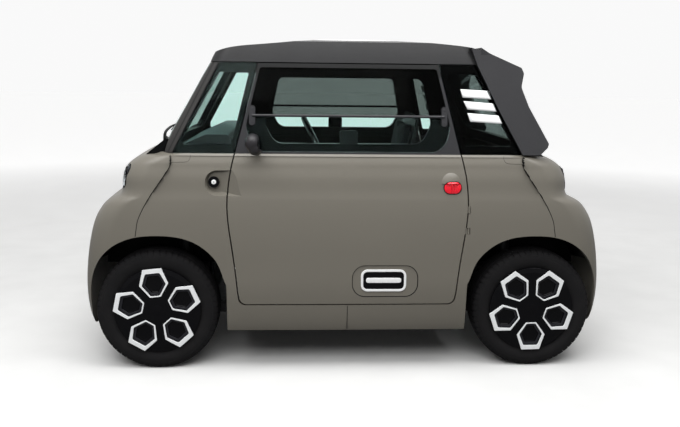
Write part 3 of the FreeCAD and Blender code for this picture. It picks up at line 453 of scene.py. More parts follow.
def slab(name, outline, place, mat, body, profile, slot=None, angle=35.0):
    """A plate whose outline is stepped through (inset, height) pairs; place maps (u, v, height) to space."""
    rings = []
    for inset, h in profile:
        rings.append([place(u, v, h) for u, v in offset(outline, inset)])
    v, f = loft(rings, True, True, True)
    return build(name, v, f, mat, body, slot, angle=angle)


def band(name, outer, inner, place, mat, body, height, edge=0.0008, base=-0.002, slot=None):
    """A flat ring between two outlines with the same number of points, with eased edges."""
    rings = [
        [place(u, v, base) for u, v in outer],
        [place(u, v, height - edge) for u, v in outer],
        [place(u, v, height) for u, v in offset(outer, edge)],
        [place(u, v, height) for u, v in offset(inner, -edge)],
        [place(u, v, height - edge) for u, v in inner],
        [place(u, v, base) for u, v in inner],
    ]
    v, f = loft(rings + [rings[0]])
    return build(name, v, f, mat, body, slot)


def tube(points, r, n=10, closed=False, cap=True, radii=None):
    """A round tube through the points."""
    pts = [Vector(p) for p in points]
    count = len(pts)
    rings = []
    prev = None
    for i, p in enumerate(pts):
        if closed:
            t = (pts[(i + 1) % count] - pts[i - 1]).normalized()
        else:
            t = (pts[min(i + 1, count - 1)] - pts[max(i - 1, 0)]).normalized()
        if prev is None:
            u = t.orthogonal().normalized()
        else:
            u = (prev - t * prev.dot(t)).normalized()
        prev = u
        w = t.cross(u)
        rr = radii[i] if radii else r
        rings.append([tuple(p + (u * math.cos(a) + w * math.sin(a)) * rr)
                      for a in (2 * math.pi * k / n for k in range(n))])
    if closed:
        rings.append(rings[0])
    return loft(rings, True, cap and not closed, cap and not closed)


def merge(*parts):
    verts, faces = [], []
    for v, f in parts:
        k = len(verts)
        verts += list(v)
        faces += [tuple(i + k for i in q) for q in f]
    return verts, faces


def smooth_path(points, n=8):
    """Catmull-Rom points through the given ones."""
    pts = [Vector(p) for p in points]
    out = []
    for i in range(len(pts) - 1):
        p0, p1, p2, p3 = pts[max(i - 1, 0)], pts[i], pts[i + 1], pts[min(i + 2, len(pts) - 1)]
        for k in range(n):
            t = k / n
            out.append(0.5 * ((2 * p1) + (p2 - p0) * t + (2 * p0 - 5 * p1 + 4 * p2 - p3) * t * t
                              + (3 * p1 - p0 - 3 * p2 + p3) * t ** 3))
    out.append(pts[-1])
    return out


def revolve(profile, n, place):
    """Rings of (u, r) revolved; place maps (u, r, angle) to space."""
    rings = []
    for k in range(n):
        a = 2 * math.pi * k / n
        rings.append([place(u, r, a) for u, r in profile])
    rings.append(rings[0])
    return loft(rings, False)


trees = {}


def tree(*names):
    if names not in trees:
        verts, polys = [], []
        for name in names:
            me = nodes[name].data
            k = len(verts)
            verts += [v.co.copy() for v in me.vertices]
            polys += [tuple(i + k for i in p.vertices) for p in me.polygons]
        trees[names] = BVHTree.FromPolygons(verts, polys)
    return trees[names]


def side_y(x, z, *names, default=0.68):
    """The outermost y of the left side's skin at this place."""
    hit = tree(*names).ray_cast(Vector((x, 1.2, z)), Vector((0, -1, 0)))[0]
    return hit.y if hit else default


def on_side(names, default=0.68):
    """Maps (x, z, height) onto the left skin of the nodes."""
    return lambda u, v, h: (u, side_y(u, v, *names, default=default) + h, v)


def on_end(names, default=1.2):
    """Maps (y, z, height) onto the nose."""
    def place(u, v, h):
        hit = tree(*names).ray_cast(Vector((1.6, u, v)), Vector((-1, 0, 0)))[0]
        return ((hit.x if hit else default) + h, u, v)
    return place


# ---------------------------------------------------------------- CAD nodes' own materials
slots = {
    "body_paint": body_paint, "grey_trim": grey_trim, "black_trim": black_trim, "glass": side_glass,
    "lamp_lens": clear_lens, "red_lens": red_lens, "frame_steel": frame_steel, "cast_metal": cast_metal,
    "seat_fabric": seat_cloth, "tyre": tyre_rubber, "wheel_black": gloss_black,
}


def two_faced(name, waist=9.0):
    """Body paint outside, black inside and dark grey above the waist."""
    m = Mat(name)
    x, y, z = m.xyz()
    nx, ny, nz = m.xyz(m.normal)
    slow = m.noise(2.2, 5.0, 0.55)
    fine = m.noise(900.0, 2.0, 0.6)
    c = m.ramp(slow, [(0.25, shade(BODY, 0.97)), (0.75, shade(BODY, 1.03))])
    c = m.mix(m.span(fine, 0.0, 0.5), c, shade(BODY, 0.9))
    c = m.mix(m.math("GREATER_THAN", z, waist), c, DARK_GREY)
    c = m.mix(m.math("GREATER_THAN", z, waist + 0.34), c, NEAR_BLACK)
    inward = m.math("LESS_THAN", m.math("MULTIPLY", ny, m.math("SIGN", y)), -0.25)
    m.colour(m.mix(inward, c, NEAR_BLACK))
    m.rough(m.span(m.noise(17.0, 6.0, 0.65), 0.34, 0.42, 0.3, 0.7))
    m.bump(fine, 0.35, 0.00002)
    m.bump(m.noise(24.0, 3.0, 0.5), 0.12, 0.0004)
    m.set(Specular_IOR_Level=0.5, Coat_Weight=0.15, Coat_Roughness=0.3)
    return m


def dash_finish():
    """Grained dash skin with a painted reflection: paler on the top faces near the screen, in place of the bright
    ceiling mirrored in the windscreen.
    """
    m = moulded("dash_skin", srgb(26, 27, 29), rough=(0.5, 0.65), grain=420.0, depth=0.0001)
    x, y, z = m.xyz()
    nx, ny, nz = m.xyz(m.normal)
    # Painted reflection: faces near the screen that look up get a paler colour.
    painted_reflection = m.math("MULTIPLY", m.math("GREATER_THAN", nz, 0.7), m.math("GREATER_THAN", x, 0.45))
    old = m.b.inputs["Base Color"].links[0].from_socket
    m.colour(m.mix(painted_reflection, old, srgb(70, 80, 83)))
    m.set(Specular_IOR_Level=0.2)
    return m


def roof_finish():
    """Grained roof skin with painted shade: darker on the faces that look up."""
    m = moulded("roof_skin", srgb(52, 52, 53), rough=(0.42, 0.55), grain=700.0, depth=0.00006, vary=0.06)
    nx, ny, nz = m.xyz(m.normal)
    old = m.b.inputs["Base Color"].links[0].from_socket
    # Painted shade: the colour runs towards near-black as the faces turn upward.
    m.colour(m.mix(m.span(nz, 0.0, 1.0, 0.15, 0.65), old, srgb(20, 20, 21)))
    m.set(Specular_IOR_Level=0.3)
    return m


def pillar_finish():
    """Grey trim strip along the screen with a dark line and a black seal behind it."""
    m = moulded("pillar_skin", srgb(50, 49, 48), rough=(0.5, 0.62), grain=700.0, depth=0.00006, vary=0.06)
    x, y, z = m.xyz()
    back = m.math("SUBTRACT", m.math("SUBTRACT", 1.322, x), m.math("MULTIPLY", z, 0.506))
    old = m.b.inputs["Base Color"].links[0].from_socket
    line = m.math("LESS_THAN", m.math("ABSOLUTE", m.math("SUBTRACT", back, 0.011)), 0.0022)
    c = m.mix(line, old, srgb(14, 14, 15))
    m.colour(m.mix(m.math("GREATER_THAN", back, 0.031), c, srgb(8, 9, 10)))
    m.set(Specular_IOR_Level=0.3)
    return m


def side_pane_finish():
    """Side glass behind the doors: light green, smoked in the left rear pane."""
    m = Mat("side_pane")
    x, y, z = m.xyz()
    film = m.noise(35.0, 4.0, 0.6)
    light = m.ramp(film, [(0.3, srgb(222, 242, 238)), (0.7, srgb(226, 245, 241))])
    smoked = m.ramp(film, [(0.3, srgb(130, 134, 134)), (0.7, srgb(134, 138, 138))])
    rear = m.math("MULTIPLY", m.math("LESS_THAN", x, 0.0), m.math("GREATER_THAN", y, 0.0))
    m.colour(m.mix(rear, light, smoked))
    m.rough(m.span(m.noise(7.0, 4.0, 0.6), 0.0, 0.012, 0.45, 0.8))
    m.set(Transmission_Weight=1.0, IOR=1.12)
    return m


def wheel_rim_finish():
    """Smooth shiny black of the steering wheel."""
    m = paint("rim_black", srgb(9, 9, 11), vary=0.1, rough=(0.16, 0.24), grain=500.0, grain_depth=0.00002)
    m.set(Coat_Weight=0.5, Coat_Roughness=0.1)
    return m


own = {
    "door_left": two_faced("door_paint", 0.9965), "door_glass_left": door_pane, "door_glass_right": door_pane,
    "side_panels_left": two_faced("quarter_paint"), "roof_glass": roof_pane, "dash": dash_finish(),
    "seat_left": seat_shell, "seat_right": seat_shell, "roof_panel": roof_finish(), "pillar_trims": pillar_finish(), "quarter_glass": side_pane_finish(),
    "steering_wheel": wheel_rim_finish(),
}
own["door_right"] = own["door_left"]
own["side_panels_right"] = own["side_panels_left"]
for entry in frame["record"]["subparts"]:
    o = nodes[entry["node"]]
    mat = own.get(entry["node"], slots[entry["material_slot"]])
    o.data.materials.clear()
    o.data.materials.append(mat.m)

# ---------------------------------------------------------------- tyres and wheels
PITCH = 60
tyre_profile = []
half = [
    (0.0600, 0.1772), (0.0622, 0.1820), (0.0628, 0.1900), (0.0664, 0.1975), (0.0706, 0.2060), (0.0736, 0.2140),
    (0.0758, 0.2220), (0.0770, 0.2300), (0.0773, 0.2380), (0.0765, 0.2450), (0.0752, 0.2492), (0.0757, 0.2506),
    (0.0744, 0.2540), (0.0722, 0.2596), (0.0694, 0.2648), (0.0668, 0.2690),
]


def tyre(side, front):
    """Tyre with four grooves, shoulder slots and a rim rib, without any lettering."""
    x0, y0 = (AXLE_X if front else -AXLE_X), side * WHEEL_Y
    top = [(0.0625, 0.2733), (0.0560, 0.2757)]
    grooves = [(0.0405, 0.0345), (0.0145, 0.0085)]
    crown = lambda u: 0.2785 - 0.9 * u * u
    row = [(u, r, 0) for u, r in half] + [(u, r, 1) for u, r in top]
    for outer, inner in grooves:
        row += [(outer, crown(outer), 1), (outer - 0.0009, crown(outer) - 0.0062, 2),
                (inner + 0.0009, crown(inner) - 0.0062, 2), (inner, crown(inner), 3)]
    row.append((0.0, crown(0.0), 3))
    row = row + [(-u, r, k) for u, r, k in reversed(row[:-1])]
    rings = []
    for i in range(PITCH):
        for step, deep in ((0.0, 0), (0.30, 0), (0.335, 1), (0.445, 1), (0.48, 0), (0.62, 0), (0.80, 0), (0.9, 0)):
            ring = []
            for u, r, k in row:
                lag = 0.45 * (abs(u) - 0.04) / 0.03 if k == 1 else 0.0
                a = 2 * math.pi * (i + step + (0.16 if u < 0 else 0.0) + 0.25 * lag) / PITCH
                cut = 0.0
                if deep and k == 1 and abs(u) > 0.041:
                    cut = 0.0052
                if deep and k == 0 and r > 0.2585:
                    cut = 0.0036
                rr = r - cut
                ring.append((x0 + rr * math.sin(a), y0 + u, TYRE_R + rr * math.cos(a)))
            rings.append(ring)
    rings.append(rings[0])
    v, f = loft(rings, False)
    name = "tyre_%s_%s" % ("front" if front else "rear", "left" if side > 0 else "right")
    low = min(p[2] for p in v)
    v = [(p[0], p[1], max(p[2], 0.0)) for p in v]
    o = build(name.replace("tyre", "tyre_tread"), v, f, tyre_rubber, wheel_body(side, front), "tyre", angle=28)
    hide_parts(name)
    return low


def wheel_body(side, front):
    return "%s_%s_wheel" % ("front" if front else "rear", "left" if side > 0 else "right")


HEX_OUT = [(0.195, -0.0425), (0.195, 0.0425), (0.1230, 0.0660), (0.0640, 0.0245), (0.0640, -0.0245), (0.1230, -0.0660)]
HEX_IN = [(0.1745, -0.0330), (0.1745, 0.0330), (0.1215, 0.0540), (0.0700, 0.0200), (0.0700, -0.0200), (0.1215, -0.0540)]
COVER_Y = 0.0805


def wheel(side, front, phase):
    """Silver six-sided rings, stepped pockets, bare centre boss and edge ring of one wheel cover."""
    x0, y0 = (AXLE_X if front else -AXLE_X), side * WHEEL_Y
    where = "%s_%s" % ("front" if front else "rear", "left" if side > 0 else "right")
    body = wheel_body(side, front)
    for i in range(5):
        way = phase + 2 * math.pi * i / 5
        er = (math.sin(way), math.cos(way))
        et = (math.cos(way), -math.sin(way))

        def place(u, v, h):
            return (x0 + u * er[0] + v * et[0], y0 + side * (COVER_Y + h), TYRE_R + u * er[1] + v * et[1])

        outer = rounded(HEX_OUT, [0.003, 0.003, 0.006, 0.006, 0.006, 0.006], 4)
        inner = rounded(HEX_IN, 0.009, 4)
        band("hex_ring_%s_%d" % (where, i), outer, inner, place, silver, body, 0.0038, 0.0010, -0.004, "wheel_black")
        mid = 0.120

        def cup(label, steps, mat, last):
            rings = []
            for d, k, h in steps:
                rings.append([place(mid + (u - mid) * k, v * k, h) for u, v in offset(inner, d)])
            v, f = loft(rings, True, False, last)
            build("%s_%s_%d" % (label, where, i), v, f, mat, body, "wheel_black", angle=25)

        cup("hex_wall", [(0.0, 1.003, 0.0016), (0.0005, 1.0, -0.0060), (0.0014, 1.0, -0.0072)], gloss_black, False)
        cup("hex_ledge", [(0.0014, 1.0, -0.0072), (0.0014, 0.97, -0.0074), (0.0014, 0.80, -0.0066), (0.0014, 0.775, -0.0076)],
            ledge_grey, False)
        cup("hex_well", [(0.0014, 0.775, -0.0076), (0.0014, 0.74, -0.0150), (0.0014, 0.70, -0.0166), (0.0014, 0.4, -0.0172)],
            gloss_black, True)

    def turned_ring(name, profile, mat, n, cap=True):
        rings = []
        for r_, h in profile:
            rings.append([(x0 + r_ * math.sin(a), y0 + side * (COVER_Y + h), TYRE_R + r_ * math.cos(a))
                          for a in (2 * math.pi * k / n for k in range(n))])
        v, f = loft(rings, True, cap, False)
        build(name, v, f, mat, body, "wheel_black")

    turned_ring("hub_cap_" + where, [(0.0005, 0.0034), (0.0235, 0.0034), (0.0262, 0.0026), (0.0268, 0.0010), (0.0290, 0.0010),
                                     (0.0300, 0.0022), (0.0330, 0.0022), (0.0345, -0.004)], gloss_black, 48)
    turned_ring("cover_edge_" + where, [(0.1925, -0.010), (0.1935, -0.0042), (0.1945, -0.0036), (0.1960, -0.0046),
                                        (0.1965, -0.012)], gloss_black, 96, False)


for side in (1, -1):
    for front in (True, False):
        tyre(side, front)
        wheel(side, front, math.radians(6 if front else -35))

# ---------------------------------------------------------------- door insert, red reflector, lock
DOOR = ("door_left",)
door_at = on_side(DOOR, 0.69)


def capsule(cx, cz, hx, hz, r, n=10):
    return rounded([(cx - hx, cz - hz), (cx + hx, cz - hz), (cx + hx, cz + hz), (cx - hx, cz + hz)], r, n)


def both_doors(o, slot=None):
    name = o.name.replace("_left", "_right") if "_left" in o.name else o.name + "_right"
    return turned(o, name, "door_right_body", slot)


def door_pieces():
    made = []
    body = "door_left_body"
    lip = capsule(-0.170, 0.425, 0.151, 0.074, 0.060, 12)
    made.append((band("panel_lip_left", lip, offset(lip, 0.0035), door_at, dark_plastic, body, 0.0006, 0.0005, -0.002), "black_trim"))
    dish = offset(lip, 0.0036)
    ring_out = capsule(-0.163, 0.428, 0.1035, 0.051, 0.030, 10)
    ring_in = offset(ring_out, 0.0108)
    made.append((slab("panel_field_left", offset(ring_out, 0.004), door_at, gloss_black, body,
                      [(0.0, -0.001), (0.0, 0.0022), (0.001, 0.0028), (0.012, 0.0030)]), "black_trim"))
    made.append((band("panel_ring_left", ring_out, ring_in, door_at, white_gloss, body, 0.0052, 0.0012, -0.001), "body_paint"))
    bar = rounded([(-0.243, 0.4175), (-0.083, 0.4175), (-0.083, 0.4405), (-0.243, 0.4405)], 0.0095, 6)
    made.append((slab("panel_bar_left", bar, door_at, white_gloss, body,
                      [(0.0, 0.001), (0.0, 0.0058), (0.0012, 0.0070), (0.006, 0.0073)]), "body_paint"))
    for o, s in made:
        both_doors(o, s)


door_pieces()


def reflector_left():
    """Red ribbed oval in a black cup."""
    body = "door_left_body"
    cx, cz = -0.4686, 0.8515
    shape = capsule(cx, cz, 0.0386, 0.0265, 0.0262, 12)
    o = band("red_surround_left", offset(shape, -0.0030), offset(shape, 0.001), door_at, black_trim, body, 0.0030, 0.0010, -0.002, "black_trim")
    both_doors(o, "black_trim")
    o = slab("red_oval_left", shape, door_at, red_lens, body,
             [(0.0, -0.001), (0.0, 0.0034), (0.0015, 0.0056), (0.006, 0.0072), (0.012, 0.0080), (0.020, 0.0083)], "red_lens")
    both_doors(o, "red_lens")
    for k in range(6):
        x = cx + (k - 2.5) * 0.0122
        h = 0.0222 - 0.0022 * abs(k - 2.5) ** 1.5
        rib = capsule(x, cz, 0.0016, h, 0.0015, 4)
        o = slab("red_rib_left_%d" % k, rib, door_at, red_lens, body, [(0.0, 0.005), (0.0, 0.0092), (0.0008, 0.0099)], "red_lens")
        both_doors(o, "red_lens")


reflector_left()


def lock_left():
    """Round lock: black cup and ring, white centre with a key slot."""
    cx, cz = 0.600, 0.871
    y = side_y(cx, cz, "door_locks", "side_panels_left")

    def rings(name, prof, mat, slot):
        rr = []
        for r, h in prof:
            rr.append([(cx + r * math.cos(a), y + h, cz + r * math.sin(a)) for a in (2 * math.pi * k / 40 for k in range(40))])
        v, f = loft(rr, True, True, False)
        o = build(name, v, f, mat, "body", slot)
        turned(o, name.replace("left", "right"), "body", slot)

    rings("lock_ring_left", [(0.010, 0.0010), (0.0125, 0.0012), (0.0135, 0.0040), (0.0155, 0.0052), (0.0215, 0.0052), (0.0245, 0.0040), (0.0252, -0.003)], gloss_black, "black_trim")
    rings("lock_face_left", [(0.0005, 0.0050), (0.0085, 0.0048), (0.0104, 0.0040), (0.0110, 0.0)], white_gloss, "body_paint")
    rings("lock_dot_left", [(0.0003, 0.0056), (0.0019, 0.0056), (0.0022, 0.0045)], gloss_black, "black_trim")


lock_left()


# ---------------------------------------------------------------- clamp screws, glass border, painted seam shade, door seals, glass stripes
GLASS = ("door_glass_left",)
glass_at = on_side(GLASS, 0.60)


def clamp_screws():
    """Two screws on each clamp of the window bar."""
    for s in (1, -1):
        cx = 0.431 * s
        for q in (1.136, 1.194):
            screw = [(cx + 0.0052 * math.cos(a), q + 0.0052 * math.sin(a)) for a in (2 * math.pi * k / 20 for k in range(20))]
            o = slab("bar_screw_left_%s_%d" % ("a" if s > 0 else "b", q * 1000), screw, door_at, grey_trim, "door_left_body",
                     [(0.0, -0.001), (0.0, 0.0012), (0.0012, 0.0022), (0.003, 0.0016)], "frame_steel")
            both_doors(o, "frame_steel")


clamp_screws()


def pane_y(u, v):
    """Outer face of the left door glass, also where its notch is."""
    hit = tree(*GLASS).ray_cast(Vector((u, 1.2, v)), Vector((0, -1, 0)))[0]
    if hit:
        return hit.y
    x = max(-0.40, min(0.40, u))
    for step in range(12):
        a, b = v - 0.012 * step, v + 0.012 * step
        low = tree(*GLASS).ray_cast(Vector((x, 1.2, a)), Vector((0, -1, 0)))[0]
        high = tree(*GLASS).ray_cast(Vector((x, 1.2, b)), Vector((0, -1, 0)))[0]
        if low and high:
            return (low.y + high.y) / 2
    return 0.6


def frit():
    """Black border on the inner face of the door glass, and the catch of its flap."""
    outer = rounded([(-0.428, 1.008), (0.428, 1.008), (0.458, 1.120), (0.395, 1.374), (-0.395, 1.374), (-0.458, 1.120)],
                    [0.08, 0.08, 0.06, 0.012, 0.012, 0.06], 8)
    inner = rounded([(-0.330, 1.042), (0.330, 1.042), (0.374, 1.128), (0.332, 1.332), (-0.332, 1.332), (-0.374, 1.128)],
                    [0.06, 0.06, 0.06, 0.04, 0.04, 0.06], 8)
    pairs = []
    for i, (a, b) in enumerate(zip(outer, inner)):
        c, d = outer[(i + 1) % len(outer)], inner[(i + 1) % len(inner)]
        parts = max(1, int(math.dist(a, c) / 0.02))
        for q in range(parts):
            w = q / parts
            pairs.append(((a[0] + (c[0] - a[0]) * w, a[1] + (c[1] - a[1]) * w),
                          (b[0] + (d[0] - b[0]) * w, b[1] + (d[1] - b[1]) * w)))
    rings = []
    for k in range(6):
        t = k / 5
        ring = []
        for a, b in pairs:
            u, v = a[0] * (1 - t) + b[0] * t, a[1] * (1 - t) + b[1] * t
            ring.append((u, pane_y(u, v) - 0.0051, v))
        rings.append(ring)
    v, f = loft(rings)
    o = build("glass_border_left", v, f, frit_black, "door_left_body", "black_trim")
    both_doors(o, "black_trim")
    catch = rounded([(-0.040, 1.030), (0.040, 1.030), (0.040, 1.100), (-0.040, 1.100)], 0.010, 5)
    o = slab("flap_catch_left", catch, lambda u, v, h: (u, pane_y(u, v) - h, v), black_trim, "door_left_body",
             [(0.0, 0.0065), (0.0, 0.030), (0.004, 0.034), (0.012, 0.036)], "black_trim")
    both_doors(o, "black_trim")


frit()


def ribbon(name, points, half, names, mat, slot, flips=((1, 1), (1, -1), (-1, 1), (-1, -1))):
    """A thin dark line of painted shade that follows the skin through (x, z) points, in place of the shadow in a panel
    gap, at all four corners unless flips names fewer.
    """
    pts = [(p.x, p.z) for p in smooth_path([(x, 0.0, z) for x, z in points], 10)]
    for fx, fy in flips:
        rings = []
        for i, (x, z) in enumerate(pts):
            a, b = pts[max(i - 1, 0)], pts[min(i + 1, len(pts) - 1)]
            d = Vector((b[0] - a[0], b[1] - a[1])).normalized()
            row = []
            for w, h in ((-1.0, -0.0006), (-0.9, 0.0002), (0.0, 0.00035), (0.9, 0.0002), (1.0, -0.0006)):
                u, v = x - d.y * w * half, z + d.x * w * half
                own_names = [n.replace("front", "rear") for n in names] if fx < 0 else names
                y = max(side_y(u * fx + step, v, *own_names) for step in (-0.005, -0.0025, 0.0, 0.0025, 0.005))
                row.append((u * fx, (y + h) * fy, v))
            rings.append(row)
        v, f = loft(rings, False)
        build("%s_%s_%s" % (name, "front" if fx > 0 else "rear", "left" if fy > 0 else "right"), v, f, mat, "body", slot)


SKIN = ("front_panel", "side_panels_left")
# Painted shade: dark lines on the seams of the nose, the flap outline and the sill, in place of the shadow in the gaps.
ribbon("nose_seam", [(0.7905, 0.988), (0.789, 0.952), (0.806, 0.916), (0.842, 0.864), (0.879, 0.809), (0.910, 0.755),
                     (0.934, 0.702), (0.943, 0.655), (0.947, 0.628)], 0.0016, SKIN, black_trim, "black_trim")
ribbon("flap_seam", [(0.7895, 0.957), (0.755, 0.9575), (0.724, 0.959), (0.709, 0.966), (0.703, 0.980), (0.704, 0.991)],
       0.0008, ("side_panels_left",), black_trim, "black_trim")
ribbon("sill_seam", [(0.0, 0.196), (0.0, 0.230), (0.0, 0.270), (0.0, 0.309)], 0.0016, ("side_panels_left",),
       black_trim, "black_trim", ((1, 1), (1, -1)))


def door_seals():
    """Dark strips in the gaps between the door's upper frame and the pillars."""
    line = [(0.5000, 1.020), (0.4915, 1.060), (0.4585, 1.200), (0.4335, 1.300), (0.4215, 1.350), (0.4185, 1.362)]
    path = [(p.x, p.z) for p in smooth_path([(x, 0.0, z) for x, z in line], 6)]
    for fx, fy, where in ((1, 1, "front_left"), (-1, 1, "rear_left"), (1, -1, "front_right"), (-1, -1, "rear_right")):
        rings = []
        for x, z in path:
            y = side_y(0.52 + (x - 0.5), z, "quarter_glass", default=0.6) - 0.020
            rings.append([(fx * (x + a), fy * (y + b), z) for a, b in ((-0.0031, 0.0), (0.0, 0.0012), (0.0031, 0.0), (0.0, -0.0012))])
        v, f = loft(rings, True, True, True)
        build("door_seal_" + where, v, f, frit_black, "body", "black_trim")


door_seals()


def stripes():
    """Three pale bands on the rear side glass."""
    runs = [
        [(-0.505, 1.289), (-0.642, 1.282), (-0.663, 1.244), (-0.516, 1.252)],
        [(-0.520, 1.236), (-0.671, 1.225), (-0.689, 1.189), (-0.538, 1.199)],
        [(-0.537, 1.183), (-0.699, 1.171), (-0.717, 1.135), (-0.551, 1.144)],
    ]
    for i, run in enumerate(runs):
        grid = []
        for a in range(9):
            t = a / 8
            row = []
            for b in range(5):
                s = b / 4
                top = Vector(run[0]).lerp(Vector(run[1]), t)
                low = Vector(run[3]).lerp(Vector(run[2]), t)
                p = top.lerp(low, s)
                row.append((p.x, side_y(p.x, p.y, "quarter_glass", default=0.57) + 0.0007, p.y))
            grid.append(row)
        v, f = loft(grid, False)
        o = build("glass_stripe_left_%d" % i, v, f, white_gloss, "body", "body_paint")
        sol = o.modifiers.new("thick", "SOLIDIFY")
        sol.thickness = 0.0005
        sol.offset = 0
        c = turned(o, "glass_stripe_right_%d" % i, "body", "body_paint", flip_x=False)
        sol = c.modifiers.new("thick", "SOLIDIFY")
        sol.thickness = 0.0005
        sol.offset = 0


stripes()


# ---------------------------------------------------------------- lamps
def lamp(side, front):
    """Upright lamp: cup, two barrels with bowls and lenses, and a clear cover that follows the nose."""
    node = "headlamps" if front else "tail_lamps"
    sx = 1 if front else -1
    cy, cz = side * (0.578 if front else 0.548), 0.886
    where = "%s_%s" % ("front" if front else "rear", "left" if side > 0 else "right")
    shape = capsule(cy, cz, 0.0354, 0.0554, 0.0345, 12)
    slot = "lamp_lens" if front else "red_lens"

    def at(u, v, h):
        hit = tree(node).ray_cast(Vector((sx * 1.6, u, v)), Vector((-sx, 0, 0)))[0]
        return ((hit.x if hit else sx * 1.0) + sx * h, u, v)

    def cover(name, profile, mat, cap_first, cap_last):
        rings = [[at(u, v, h) for u, v in offset(shape, d)] for d, h in profile]
        v, f = loft(rings, True, cap_first, cap_last)
        return build(name, v, f, mat, "body", slot)

    cup = cover("lamp_cup_" + where, [(0.0, -0.0004), (0.0022, -0.0010), (0.0026, -0.006), (0.004, -0.046), (0.012, -0.048),
                                      (0.030, -0.048)], dark_plastic, False, True)
    shell = cover("lamp_cover_" + where, [(0.033, -0.0028), (0.022, -0.0028), (0.012, -0.0028), (0.0048, -0.0028),
                                          (0.0034, -0.004), (0.0034, -0.010), (0.0024, -0.010), (0.0024, -0.0012),
                                          (0.0036, -0.0002), (0.012, 0.0), (0.022, 0.0), (0.033, 0.0)], clear_lens, True, True)
    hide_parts(node)
    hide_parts(node)

    def barrel(name, dz, r, depth):
        bx = at(cy, cz + dz, 0)[0] - sx * 0.010
        n = 48

        def rings(label, profile, mat, first, last):
            rr = [[(bx + sx * h, cy + q * math.cos(a), cz + dz + q * math.sin(a)) for a in (2 * math.pi * k / n for k in range(n))]
                  for q, h in profile]
            v, f = loft(rr, True, first, last)
            build("%s_%s_%s" % (label, name, where), v, f, mat, "body", slot)

        rings("lamp_barrel", [(r, -0.034), (r, -0.002), (r - 0.0008, 0.0), (r - 0.002, 0.0), (r - 0.0024, -0.002)], gloss_black, False, False)
        rings("lamp_bowl", [(r - 0.0024, -0.002), (r * 0.86, -depth * 0.35), (r * 0.70, -depth * 0.65), (r * 0.45, -depth * 0.9),
                            (0.001, -depth)], reflector, False, True)
        dome = r * 0.55
        rings("lamp_lens", [(dome, -depth * 0.75), (dome, -depth * 0.45), (dome * 0.92, -depth * 0.28), (dome * 0.72, -depth * 0.12),
                            (dome * 0.4, -depth * 0.02), (0.001, 0.0)], clear_lens if front else red_lens, True, True)

    barrel("main", 0.017, 0.0275, 0.024)
    barrel("low", -0.0305, 0.0150, 0.014)


for side in (1, -1):
    lamp(side, True)
    lamp(side, False)


def mirror_left():
    """Egg-shaped door mirror: head, neck that runs down to the waist, rim and silvered face."""
    lumps = [((0.423, 0.742, 1.054), (0.0345, 0.049, 0.040)), ((0.414, 0.740, 1.034), (0.031, 0.044, 0.036)),
             ((0.407, 0.716, 1.018), (0.022, 0.034, 0.024)), ((0.405, 0.690, 1.014), (0.016, 0.034, 0.017)),
             ((0.408, 0.664, 1.018), (0.013, 0.030, 0.015))]
    parts = []
    for (cx, cy, cz), (rx, ry, rz) in lumps:
        rings = []
        for a in range(1, 20):
            t = math.pi * a / 20
            rings.append([(cx + rx * math.sin(t) * math.cos(q), cy - ry * math.cos(t), cz + rz * math.sin(t) * math.sin(q))
                          for q in (2 * math.pi * k / 32 for k in range(32))])
        parts.append(loft(rings, True, True, True))
    v, f = merge(*parts)
    o = build("mirror_shell_left", v, f, mirror_shell, "door_left_body", "grey_trim")
    bpy.context.view_layer.objects.active = o
    for kind, values in (("REMESH", {"mode": "VOXEL", "voxel_size": 0.0025}), ("SMOOTH", {"factor": 0.6, "iterations": 12})):
        md = o.modifiers.new("shape", kind)
        for k, w in values.items():
            setattr(md, k, w)
        bpy.ops.object.modifier_apply(modifier=md.name)
    for w in o.data.vertices:
        if w.co.x < 0.3965 and w.co.z > 1.02:
            w.co.x = 0.3965 + (w.co.x - 0.3965) * 0.08
    o.data.shade_smooth()
    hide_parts("mirror_left")
    cy, cz = 0.742, 1.052

    def oval(scale, h):
        return [(0.3965 + h, cy + 0.0415 * scale * math.cos(a), cz + 0.033 * scale * math.sin(a))
                for a in (2 * math.pi * k / 48 for k in range(48))]

    v, f = loft([oval(0.94, 0.004), oval(0.94, -0.0014), oval(0.90, -0.0022), oval(0.86, -0.0014), oval(0.84, 0.004)])
    rim = build("mirror_rim_left", v, f, black_trim, "door_left_body", "grey_trim")
    v, f = loft([oval(0.86, -0.0006), oval(0.5, -0.0008), oval(0.01, -0.0010)], True, False, True)
    face = build("mirror_face_left", v, f, mirror_glass, "door_left_body", "grey_trim")
    c = turned(o, "mirror_shell_right", "door_right_body", "grey_trim", flip_x=False)
    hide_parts("mirror_right")
    turned(rim, "mirror_rim_right", "door_right_body", "grey_trim", flip_x=False)
    turned(face, "mirror_face_right", "door_right_body", "grey_trim", flip_x=False)


mirror_left()


